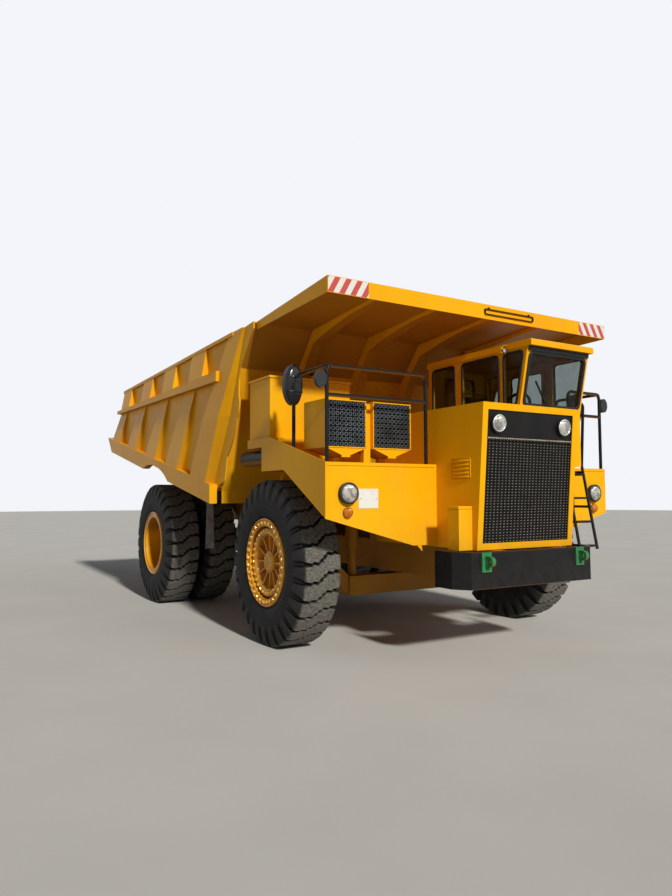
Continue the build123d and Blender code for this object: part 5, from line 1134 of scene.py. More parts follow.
@dataclass
class RadiatorFront:
    """Black mesh with its crossing buttons, pale as painted highlights, and the row of bolts under the
    header.
    """

    face: Leaning
    half_width: float = 0.588
    bottom: float = 1.180
    top: float = 2.172
    columns: int = 26
    rows: int = 36
    plate_at: float = -0.028
    wire: float = 0.0045
    button: Flat = (0.010, 0.0048)     # half width, half height
    bolts: int = 45
    bolt: float = 0.011                # width of a head
    seam_z: float = 2.190
    seam_height: float = 0.026
    # Where each kind of bar starts and ends before the plate
    upright_wire: Flat = (0.000, 0.007)
    level_wire: Flat = (-0.001, 0.005)
    seam_bar: Flat = (0.006, 0.026)

    # Section of a button from its foot: share of its size, height over the plate
    BUTTON = ((1.0, 0.005), (1.0, 0.008), (0.55, 0.0105))

    def build(self) -> None:
        """Makes mesh, buttons, seam bar and bolts."""
        across = [self.half_width * (2 * i / (self.columns - 1) - 1) for i in range(self.columns)]
        up = [self.bottom + (self.top - self.bottom) * j / (self.rows - 1) for j in range(self.rows)]
        wires = Shape()
        for x in across:
            self.bar(wires, (x - self.wire, self.bottom), (x + self.wire, self.top), self.upright_wire)
        for z in up:
            self.bar(wires, (-self.half_width, z - self.wire), (self.half_width, z + self.wire),
                     self.level_wire)
        wires.build("radiator_mesh", Finish.MESH, "chassis")
        buttons = Shape()
        wide, tall = self.button
        turns = [math.pi * k / 4 for k in range(8)]
        for x in across:
            for z in up:
                rows = [[self.face.at(x + wide * share * math.cos(t), z + tall * share * math.sin(t),
                                      self.plate_at + lift) for t in turns] for share, lift in self.BUTTON]
                buttons.grid(rows, loop=True)
                buttons.faces.append([len(buttons.points) - 8 + k for k in range(8)])
        # pale buttons: painted highlights of the mesh's crossings
        buttons.build("mesh_buttons", Finish.BUTTON_HIGHLIGHT, "chassis")
        seam = Shape()
        half = self.seam_height / 2
        self.bar(seam, (-self.half_width, self.seam_z - half), (self.half_width, self.seam_z + half),
                 self.seam_bar)
        seam.build("header_seam_bar", Finish.BLACK, "chassis", edge=0.002)
        heads = Shape()
        for k in range(self.bolts):
            x = (self.half_width - 0.012) * (2 * k / (self.bolts - 1) - 1)
            seat = self.face.at(x, self.seam_z, self.plate_at + self.seam_bar[1])
            heads.bolt(seat, self.face.out(), self.bolt)
        heads.build("header_seam_bolts", Finish.BOLT, "chassis")

    def bar(self, shape: Shape, low: Flat, high: Flat, depth: Flat) -> None:
        """Adds a flat bar that lies on the mesh's plate.

        Args:
            shape: where it goes.
            low: lower corner, across and up.
            high: upper corner.
            depth: how far before the plate it starts and ends.
        """
        (x0, z0), (x1, z1) = low, high
        near = self.plate_at + depth[0]
        corners = [self.face.at(x, z, near) for x, z in ((x0, z0), (x1, z0), (x1, z1), (x0, z1))]
        shape.plate(corners, tuple(self.face.out() * (depth[1] - depth[0])))


@dataclass
class RoundLamp:
    """Round lamp: a rolled bezel round a domed lens."""

    name: str
    seat: Vec
    out: Vec
    radius: float
    lens: Finish
    bezel: Finish
    dome: float = 0.014            # height of the lens
    lens_share: float = 0.875      # radius of the lens, of the lamp's

    # Section of the bezel: place along the axis, share of the lamp's radius, and what is added to it
    BEZEL = ((-0.014, 1.0, 0.001), (-0.012, 1.0, 0.005), (0.004, 1.0, 0.004), (0.009, 0.97, 0.0),
             (0.009, 0.92, 0.0), (0.004, 0.86, 0.0), (-0.001, 0.86, 0.0), (-0.001, 1.0, 0.0))

    def build(self) -> None:
        """Makes bezel and lens."""
        bezel = Shape()
        bezel.lathe([(along, self.radius * share + more) for along, share, more in self.BEZEL],
                    self.seat, self.out, 48, closed=True)
        bezel.build(f"{self.name}_bezel", self.bezel, "chassis", "black_plastic", smooth=50.0)
        glass = Shape()
        r = self.radius * self.lens_share
        bulge = [(self.dome * math.cos(t) + 0.0015, r * math.sin(t))
                 for t in (math.pi / 2 * k / 7 for k in range(7, -1, -1))]
        glass.lathe([(0.0005, r), *bulge], self.seat, self.out, 48)
        glass.build(f"{self.name}_lens", self.lens, "chassis", "lamp_lens", smooth=60.0)


@dataclass
class FilterFace:
    """Black punched face of an air cleaner in its bolted yellow frame."""

    name: str
    low: Flat                      # x and z of the lower corner
    high: Flat
    front_y: float
    frame: float = 0.013           # width of the frame's bars, and how far they stand out
    holes: int = 9
    bolts: int = 4                 # along each side
    bolt: float = 0.008            # width of a head
    chute: Flat = (0.072, 0.092)   # how far below the face its slopes and its lip end
    chute_half: float = 0.05       # half width of the lip

    # Section of a punched rim: height over the face, radius
    RIM = ((0.0, 0.0205), (0.009, 0.0190), (0.009, 0.0155), (0.0, 0.0145))

    def build(self) -> None:
        """Makes panel, punched rims, dust chute, frame and bolts."""
        (x0, z0), (x1, z1) = self.low, self.high
        f, y = self.frame, self.front_y
        panel = Shape()
        panel.box((x0 + f * 0.8, y - 0.004, z0 + f * 0.8), (x1 - f * 0.8, y + 0.002, z1 - f * 0.8))
        rims = Shape()
        pitch_x = (x1 - x0 - 2 * f) / self.holes
        pitch_z = (z1 - z0 - 2 * f) / self.holes
        for i in range(self.holes):
            for j in range(self.holes):
                at = (x0 + f + (i + 0.5) * pitch_x, y - 0.004, z0 + f + (j + 0.5) * pitch_z)
                rims.lathe(self.RIM, at, AHEAD, 10, closed=True)
        panel.build(f"{self.name}_punched_face", Finish.FILTER, "chassis")
        # pale rims: grey metal, partly painted highlight
        rims.build(f"{self.name}_punched_rims", Finish.PUNCHED, "chassis")
        chute = Shape()
        left, right = (x0 + x1) / 2 - self.chute_half, (x0 + x1) / 2 + self.chute_half
        slope, lip = (z0 - drop for drop in self.chute)
        chute.plate([(x, y - 0.006, z) for x, z in
                     ((x0 + 0.006, z0 + 0.002), (x1 - 0.006, z0 + 0.002), (right, slope), (right, lip),
                      (left, lip), (left, slope))], (0.0, 0.010, 0.0))
        chute.build(f"{self.name}_dust_chute", Finish.YELLOW, "chassis", edge=0.002)
        rim = Shape()
        for a, b, c, d in ((x0, z0, x1, z0 + f), (x0, z1 - f, x1, z1), (x0, z0 + f, x0 + f, z1 - f),
                           (x1 - f, z0 + f, x1, z1 - f)):
            rim.box((a, y - f, b), (c, y + 0.002, d))
        rim.build(f"{self.name}_face_frame", Finish.YELLOW, "chassis", edge=0.003)
        heads = Shape()
        last = self.bolts - 1
        for i in range(self.bolts):
            for j in range(self.bolts):
                if i in (0, last) or j in (0, last):
                    heads.bolt((x0 + f / 2 + (x1 - x0 - f) * i / last, y - f,
                                z0 + f / 2 + (z1 - z0 - f) * j / last), AHEAD, self.bolt)
        heads.build(f"{self.name}_face_bolts", Finish.BOLT, "chassis")


@dataclass
class WindowSeal:
    """Rubber seal round a window."""

    name: str
    corners: Sequence[Vec]
    out: Vec
    width: float
    body: str = "chassis"
    proud: float = 0.012
    bend: float = 0.055

    def build(self) -> None:
        """Makes the seal, with the groove of its locking strip."""
        seal = Shape()
        seal.trim(self.corners, self.out, self.width, self.proud, self.bend)
        seal.build(f"seal_{self.name}", Finish.GASKET, self.body, smooth=60.0)


@dataclass
class CabTrim:
    """Seals, wiper, brow strip, work lamp and door handle of the cab."""

    right_x: float = 0.20
    left_x: float = 1.16
    middle_x: float = 0.68
    rear_y: float = -2.4075
    window_z: Flat = (2.60, 3.175)
    # Y of each side window's corners: front and rear of its sill, rear and front of its head
    right_windows: Sequence[tuple[float, float, float, float]] = (
        (-3.8875, -3.7125, -3.7125, -4.0068), (-3.6325, -3.0325, -3.0325, -3.6325),
        (-2.8975, -2.4925, -2.4925, -2.8975),
    )
    left_windows: Sequence[tuple[float, float, float, float]] = (
        (-3.8775, -3.5675, -3.5675, -3.9968), (-2.7275, -2.4825, -2.4825, -2.7275),
    )
    rear_window: Vec = (0.26, 0.24, 2.8875)        # half width, half height, middle z
    windscreen: Vec = (0.43, 0.28, 2.8775)
    door_y: Flat = (-3.4025, -2.8725)
    door_z: Flat = (2.52, 3.115)
    brow_x: Flat = (0.215, 1.145)
    brow_z: Flat = (3.168, 3.213)
    lamp_bracket: Sequence[Vec] = ((0.192, -3.75, 3.262), (0.140, -3.75, 3.262), (0.140, -3.75, 3.238))
    lamp_box: tuple[Vec, Vec] = ((0.106, -3.785, 3.166), (0.174, -3.715, 3.238))
    lamp_seat: Vec = (0.140, -3.786, 3.202)
    lamp_radius: float = 0.029
    escutcheon: tuple[Flat, Flat] = ((-3.440, 2.385), (-3.275, 2.455))     # y and z of its corners
    handle_z: float = 2.42

    # Corners of a rectangle in order, by the sign of each coordinate
    CORNERS = ((-1, -1), (1, -1), (1, 1), (-1, 1))
    # Route of the door handle: how far out, y
    HANDLE = ((0.0, -3.420), (0.034, -3.412), (0.034, -3.303), (0.0, -3.295))

    def build(self) -> None:
        """Makes all of the cab's pieces."""
        low, high = self.window_z
        for word, x, out, windows in (("right", self.right_x, -1.0, self.right_windows),
                                      ("left", self.left_x, 1.0, self.left_windows)):
            for i, places in enumerate(windows):
                corners = [(x, y, z) for y, z in zip(places, (low, low, high, high))]
                WindowSeal(f"{word}_{i}", corners, (out, 0.0, 0.0), 0.030).build()
        wide, tall, z = self.rear_window
        WindowSeal("rear", [(self.middle_x + a * wide, self.rear_y, z + b * tall) for a, b in self.CORNERS],
                   (0.0, 1.0, 0.0), 0.030).build()
        (y0, y1), (z0, z1) = self.door_y, self.door_z
        WindowSeal("door", [(self.left_x, y, z) for y, z in ((y0, z0), (y1, z0), (y1, z1), (y0, z1))],
                   (1.0, 0.0, 0.0), 0.026, "cab_door", 0.010).build()
        wide, tall, z = self.windscreen
        tall *= -CAB_FACE.out().y
        corners = [CAB_FACE.at(self.middle_x + a * wide, z + b * tall) for a, b in self.CORNERS]
        WindowSeal("windscreen", corners, tuple(CAB_FACE.out()), 0.040, proud=0.014).build()
        self.wiper((0.62, 2.572), (0.37, 2.86))
        (x0, x1), (z0, z1) = self.brow_x, self.brow_z
        brow = Shape()
        corners = [CAB_FACE.at(x, z, 0.002) for x, z in ((x0, z0), (x1, z0), (x1, z1), (x0, z1))]
        brow.plate(corners, tuple(CAB_FACE.out() * 0.018))
        brow.build("brow_strip", Finish.GASKET, "chassis", edge=0.004)
        self.work_lamp()
        self.door_handle()

    def wiper(self, pivot: Flat, tip: Flat) -> None:
        """Adds the windscreen's wiper.

        Args:
            pivot: x and z of its pivot.
            tip: x and z of its blade's upper end.
        """
        out = CAB_FACE.out()
        arm = Shape()
        arm.lathe([(-0.004, 0.018), (0.018, 0.018), (0.024, 0.012)], CAB_FACE.at(*pivot), out, 16)
        hinge, foot = ([a * (1 - share) + b * share for a, b in zip(pivot, tip)] for share in (0.65, 0.22))
        for shift in (0.0, 0.035):                 # two parallel arms
            arm.tube([CAB_FACE.at(pivot[0] + shift, pivot[1], 0.016),
                      CAB_FACE.at(hinge[0] + shift, hinge[1], 0.026)], 0.0055, 10)
        ends = [Vector(CAB_FACE.at(*foot, 0.006)), Vector(CAB_FACE.at(*tip, 0.006))]
        across = (ends[1] - ends[0]).normalized().cross(out) * 0.007
        corners = (ends[0] - across, ends[0] + across, ends[1] + across, ends[1] - across)
        arm.plate([tuple(corner) for corner in corners], tuple(out * 0.020))
        arm.build("wiper_windscreen", Finish.PLASTIC, "chassis", edge=0.0015)

    def work_lamp(self) -> None:
        """Adds the work lamp on its bracket at the roof's right edge."""
        bracket = Shape()
        bracket.band(self.lamp_bracket, (0.0, 1.0, 0.0), 0.04, 0.005, 0.010)
        bracket.build("work_lamp_bracket", Finish.YELLOW, "chassis", edge=0.001)
        housing = Shape()
        housing.box(*self.lamp_box)
        housing.build("work_lamp_housing", Finish.YELLOW, "chassis", edge=0.010)
        RoundLamp("work_lamp", self.lamp_seat, AHEAD, self.lamp_radius, Finish.LENS, Finish.PLASTIC,
                  0.006).build()

    def door_handle(self) -> None:
        """Adds the door's pull handle and its escutcheon."""
        pull = Shape()
        low, high = self.escutcheon
        pull.box((self.left_x - 0.001, *low), (self.left_x + 0.006, *high))
        pull.tube([(self.left_x + out, y, self.handle_z) for out, y in self.HANDLE], 0.008, 12, 0.012)
        pull.build("door_handle", Finish.PLASTIC, "cab_door", edge=0.002)


@dataclass
class Plate:
    """Blank plate with a rolled border and two screws."""

    name: str
    low: Flat
    high: Flat
    y: float
    thick: float = 0.004
    inset: float = 0.008           # of the border's middle from the plate's edge

    def build(self) -> None:
        """Makes the plate."""
        (x0, z0), (x1, z1), i, front = self.low, self.high, self.inset, self.y - self.thick
        sheet = Shape()
        sheet.box((x0, front, z0), (x1, self.y + 0.001, z1))
        sheet.trim([(x, front, z) for x, z in
                    ((x0 + i, z0 + i), (x1 - i, z0 + i), (x1 - i, z1 - i), (x0 + i, z1 - i))],
                   AHEAD, 0.007, 0.0025, 0.014)
        sheet.build(self.name, Finish.LABEL, "chassis", edge=0.001)
        screws = Shape()
        for x in (x0 + 0.025, x1 - 0.025):
            screws.bolt((x, front, (z0 + z1) / 2), AHEAD, 0.009)
        screws.build(f"{self.name}_screws", Finish.BOLT, "chassis")


@dataclass
class FenderTrim:
    """Top seam, lamps and blank plates of the fenders' fronts."""

    front_y: float = -3.5895
    seam_z: float = 1.925
    seam_half: float = 0.004
    inner_x: float = 0.69
    outer_x: float = 1.985
    lamps_x: float = 1.76
    headlight: Vec = (1.657, 0.100, 0.045)     # z, radius, how far it stands out
    indicator: Vec = (1.475, 0.045, 0.030)

    def build(self) -> None:
        """Makes the pieces of both fenders."""
        for side in Side:
            s = side.value
            seam = Shape()
            x0, x1 = sorted((s * self.inner_x, s * self.outer_x))
            seam.box((x0, self.front_y - 0.006, self.seam_z - self.seam_half),
                     (x1, self.front_y + 0.001, self.seam_z + self.seam_half))
            seam.build(f"fender_seam_{side.word}", Finish.YELLOW, "chassis", edge=0.002)
            z, radius, proud = self.headlight
            RoundLamp(f"headlight_{side.word}", (s * self.lamps_x, self.front_y - proud, z), AHEAD, radius,
                      Finish.LENS, Finish.PLASTIC, 0.022).build()
            z, radius, proud = self.indicator
            RoundLamp(f"indicator_{side.word}", (s * self.lamps_x, self.front_y - proud, z), AHEAD, radius,
                      Finish.AMBER, Finish.AMBER, 0.012).build()
        Plate("plate_right", (-1.63, 1.51), (-1.40, 1.70), self.front_y).build()
        Plate("plate_left", (0.80, 1.51), (1.03, 1.70), self.front_y).build()


@dataclass
class TankTrim:
    """Straps and filler caps of the tanks along the frame, and the deck tank's cap."""

    x: Flat = (0.50, 1.01)
    z: Flat = (0.64, 1.26)
    straps_y: Sequence[float] = (-0.87, -0.36)
    clearance: float = 0.002       # between strap and tank
    teeth: int = 48                # points round a cap's grip, high and low
    groove: float = 0.965          # radius of its low points, of the cap's

    # Section of a cap: height over its seat, share of its radius
    CAP = ((-0.004, 0.97), (0.004, 1.0), (0.022, 1.0), (0.028, 0.95), (0.030, 0.70), (0.024, 0.64),
           (0.024, 0.05))

    def build(self) -> None:
        """Makes the pieces of both sides."""
        for side in Side:
            s = side.value
            straps = Shape()
            inner, outer = s * self.x[0], s * (self.x[1] + self.clearance)
            low, high = self.z[0] - self.clearance, self.z[1] + self.clearance
            for y in self.straps_y:
                straps.band([(inner, y, high), (outer, y, high), (outer, y, low), (inner, y, low)],
                            (0.0, 1.0, 0.0), 0.060, 0.004, 0.092)
            straps.build(f"tank_straps_{side.word}", Finish.BLACK, "chassis")
            self.cap(f"tank_cap_{side.word}", (s * 0.82, -0.61, self.z[1]), 0.062)
        self.cap("deck_tank_cap", (-1.235, -2.0725, 3.055), 0.088)

    def cap(self, name: str, at: Vec, radius: float) -> None:
        """Adds a filler cap with a gripped rim.

        Args:
            name: name of the piece.
            at: middle of its seat.
            radius: its radius.
        """
        grip = Shape()
        rows = []
        for z, share in self.CAP:
            row = []
            for k in range(self.teeth):
                t = 2 * math.pi * k / self.teeth
                r = radius * share * (1.0 if k % 2 or share < 0.95 else self.groove)
                row.append((at[0] + r * math.cos(t), at[1] + r * math.sin(t), at[2] + z))
            rows.append(row)
        grip.grid(rows, loop=True)
        grip.cap_ends(rows)
        grip.build(name, Finish.BLACK, "chassis", smooth=30.0)


@dataclass
class FrontBits:
    """Bumper's edge bars, header lamps, side box lid, hood louvre and fender gussets."""

    bumper_y: float = -4.2875
    bumper_z: Flat = (0.75, 1.10)
    bumper_half: float = 0.83
    edge_bar: float = 0.006        # radius of the bumper's edge bars
    header_lamp: Flat = (0.46, 2.335)
    lamp_proud: float = 0.018      # of the lamps' seat over the hood's face
    gusset_y: float = -3.585
    gusset: Sequence[Flat] = ((0.862, 1.135), (0.925, 1.135), (0.850, 1.065))      # x, z
    lid_box: tuple[Vec, Vec] = ((-0.837, -4.1265, 1.500), (-0.667, -3.9645, 1.531))
    louvre_x: float = -0.665       # right face of the hood
    louvre_y: Flat = (-4.11, -3.83)
    louvre_z: Flat = (1.80, 2.00)
    slats: int = 5
    slat_margin: float = 0.02      # from the middle of the outer slats to the louvre's edges

    # Half of a slat from its end: distance from the louvre's edge, share of its depth
    SLAT_END = ((0.012, 0.15), (0.024, 1.0))
    # Section of a slat: depth, height from its middle
    SLAT = ((0.0, 0.012), (0.006, 0.010), (0.014, -0.004), (0.013, -0.010), (0.0, -0.010))

    def build(self) -> None:
        """Makes the pieces."""
        edges = Shape()
        z0, z1 = self.bumper_z
        for z in (z0 + self.edge_bar, z1 - self.edge_bar):
            edges.tube([(-self.bumper_half, self.bumper_y, z), (self.bumper_half, self.bumper_y, z)],
                       self.edge_bar, 8)
        edges.build("bumper_edges", Finish.GREY, "chassis", smooth=60.0)
        for side in Side:
            x, z = side.value * self.header_lamp[0], self.header_lamp[1]
            RoundLamp(f"header_lamp_{side.word}", HOOD_FACE.at(x, z, self.lamp_proud),
                      tuple(HOOD_FACE.out()), 0.082, Finish.LENS, Finish.CHROME, 0.018).build()
        self.lid()
        self.louvre()
        gussets = Shape()
        for side in Side:
            gussets.plate([(side.value * x, self.gusset_y, z) for x, z in self.gusset], (0.0, 0.012, 0.0))
        gussets.build("fender_gussets", Finish.YELLOW, "chassis", edge=0.002)

    def lid(self) -> None:
        """Adds the side box's lid, a pressed cap that laps over its top edge."""
        lid = Shape()
        lid.box(*self.lid_box)
        lid.build("side_box_lid", Finish.YELLOW, "chassis", edge=0.005)

    def louvre(self) -> None:
        """Adds the hood's side louvre, pressed slats in a rounded frame."""
        slats = Shape()
        x, (y0, y1), (z0, z1) = self.louvre_x, self.louvre_y, self.louvre_z
        ends = [(y0 + inset, share) for inset, share in self.SLAT_END]
        ends += [(y1 - inset, share) for inset, share in reversed(self.SLAT_END)]
        for k in range(self.slats):
            z = z0 + self.slat_margin + (z1 - z0 - 2 * self.slat_margin) * k / (self.slats - 1)
            slats.grid([[(x - depth * share, y, z + up) for depth, up in self.SLAT] for y, share in ends])
        slats.trim([(x, y0, z0), (x, y1, z0), (x, y1, z1), (x, y0, z1)], (-1.0, 0.0, 0.0), 0.010, 0.006, 0.02)
        slats.build("hood_louvre", Finish.YELLOW, "chassis", smooth=40.0)


@dataclass
class CanopyMarks:
    """Warning bands and the raised dark loop on the canopy's edge."""

    front_y: float = -3.6375
    top_z: float = 3.735
    height: float = 0.165
    half_width: float = 2.0
    band_from: float = 1.53
    inset: float = 0.006           # of the bands from the canopy's edges
    loop_x: Flat = (0.0, 0.735)
    loop_z: Flat = (3.622, 3.678)

    def build(self) -> None:
        """Makes the bands of both sides and the loop."""
        bands = Shape()
        z0, z1 = self.top_z - self.height + self.inset, self.top_z - self.inset
        for side in Side:
            s = side.value
            x0, x1 = sorted((s * self.band_from, s * (self.half_width - self.inset)))
            bands.box((x0, self.front_y - 0.0015, z0), (x1, self.front_y + 0.001, z1))
        bands.build("warning_bands_front", Finish.STRIPES, "dump_body")
        x0, x1 = self.loop_x
        z0, z1 = self.loop_z
        y = self.front_y
        loop = Shape()
        loop.trim([(x0, y, z0), (x1, y, z0), (x1, y, z1), (x0, y, z1)], AHEAD, 0.014, 0.022, 0.018)
        for x in (x0 + 0.06, x1 - 0.06):
            loop.box((x - 0.012, y - 0.012, z1), (x + 0.012, y + 0.001, z1 + 0.022))
        loop.build("canopy_loop", Finish.BLACK, "dump_body", smooth=55.0)


@dataclass
class BodyWelds:
    """Weld beads in the dump body's inner corners and along its front wall's foot."""

    half_width: float = 2.026
    corner: Sequence[Flat] = ((-1.040, 1.782), (-1.592, 3.150), (-2.020, 3.610))   # y, z
    bead: float = 0.020
    waist: float = 0.86            # radius between two swellings, of the bead's
    pitch: float = 0.03            # from a swelling to the next waist

    def build(self) -> None:
        """Makes the beads."""
        beads = Shape()
        for side in Side:
            x = side.value * self.half_width
            self.ripple(beads, [(x, y, z) for y, z in self.corner])
            self.ripple(beads, [(x, -1.02, 1.778), (x, 4.10, 2.702)])
        y, z = self.corner[0]
        self.ripple(beads, [(-self.half_width, y, z - 0.004), (self.half_width, y, z - 0.004)])
        beads.build("body_welds", Finish.YELLOW, "dump_body", smooth=60.0)

    def ripple(self, shape: Shape, route: Sequence[Vec]) -> None:
        """Adds a bead whose width swells with each pass of the torch.

        Args:
            shape: where it goes.
            route: corner points.
        """
        for start, end in zip(route, route[1:]):
            a, b = Vector(start), Vector(end)
            ahead = (b - a).normalized()
            u = ahead.orthogonal().normalized()
            v = ahead.cross(u)
            count = max(2, round((b - a).length / self.pitch))
            shape.grid([ring(a.lerp(b, k / count), u, v, self.bead * (1.0 if k % 2 else self.waist), 8)
                        for k in range(count + 1)], loop=True)


@dataclass
class MirrorFaces:
    """Silvered faces of the mirrors, a little domed, and the large ones' shells with their clamps."""

    ovals: Sequence[tuple[float, float, float, float, float]] = (   # x, y, z, half width, half height
        (2.08, -3.0375, 2.745, 0.090, 0.195),
        (2.035, -3.53, 2.745, 0.052, 0.077),
    )
    back_y: float = -3.0975
    steps: int = 40
    clamps_z: Flat = (-0.075, 0.075)

    # Sections from the rim to the middle: share of the oval, place along Y
    FACE = ((1.0, -0.001), (1.0, 0.002), (0.8, 0.003), (0.4, 0.004), (0.001, 0.0045))
    SHELL = ((1.08, 0.0), (1.09, -0.012), (1.0, -0.028), (0.8, -0.040), (0.45, -0.047), (0.001, -0.049))
    # A clamp's route round the shell: place along X from its middle, place along Y from its back
    CLAMP = ((-0.085, -0.030), (0.0, -0.060), (0.06, -0.040))

    def build(self) -> None:
        """Makes the faces and shells of both sides."""
        faces, shells = Shape(), Shape()
        for side in Side:
            s = side.value
            for x, y, z, *half in self.ovals:
                self.dome(faces, (s * x, y, z), half, self.FACE)
            x, _, z, *half = self.ovals[0]
            self.dome(shells, (s * x, self.back_y, z), half, self.SHELL)
            for dz in self.clamps_z:
                shells.tube([(s * (x + across), self.back_y + back, z + dz) for across, back in self.CLAMP],
                            0.007, 10, 0.03)
        faces.build("mirror_faces", Finish.MIRROR, "chassis", smooth=60.0)
        shells.build("mirror_shells", Finish.SHELL, "chassis", smooth=50.0)

    def dome(self, shape: Shape, middle: Vec, half: Sequence[float], section: Sequence[Flat]) -> None:
        """Adds an oval that swells along Y.

        Args:
            shape: where it goes.
            middle: middle of its foot.
            half: half of its width and of its height.
            section: share of the oval and place along Y, from the rim to the middle.
        """
        turns = [2 * math.pi * k / self.steps for k in range(self.steps)]
        shape.grid([[(middle[0] + half[0] * share * math.cos(t), middle[1] + out,
                      middle[2] + half[1] * share * math.sin(t)) for t in turns]
                    for share, out in section], loop=True)


@dataclass
class Plumbing:
    """Clipped hoses along the frame and the brake lines of the rear axle."""

    rail_x: float = 0.512
    runs: Sequence[float] = (1.000, 1.034, 1.068)
    clips_y: Sequence[float] = (-0.06, 0.08, 0.36)

    # Route of a hose: how far out, y, how far up; and of a brake line: x, y and z from the axle's middle
    HOSE = ((0.0, -0.12, 0.0), (0.0, 0.10, 0.0), (0.02, 0.24, 0.03), (0.0, 0.40, 0.0))
    BRAKE_LINE = ((0.20, -0.20, 0.235), (0.34, -0.10, 0.19), (0.60, -0.05, 0.172), (0.96, -0.05, 0.172))

    def build(self) -> None:
        """Makes hoses, clips and brake lines."""
        for side in Side:
            s = side.value
            hoses = Shape()
            for z in self.runs:
                hoses.tube([(s * (self.rail_x + 0.006 + out), y, z + up) for out, y, up in self.HOSE],
                           0.013, 10, 0.05)
            hoses.build(f"frame_hoses_{side.word}", Finish.GASKET, "chassis", smooth=60.0)
            clips = Shape()
            for y in self.clips_y:
                x0, x1 = sorted((s * 0.499, s * (self.rail_x + 0.024)))
                clips.box((x0, y - 0.012, 0.978), (x1, y + 0.012, 1.090))
            clips.build(f"hose_clips_{side.word}", Finish.BOLT, "chassis", edge=0.003)
        lines = Shape()
        for side in Side:
            lines.tube([(side.value * x, REAR_AXLE_Y + y, AXLE_Z + z) for x, y, z in self.BRAKE_LINE],
                       0.009, 10, 0.04)
        lines.build("brake_lines", Finish.STEEL, "chassis", smooth=60.0)


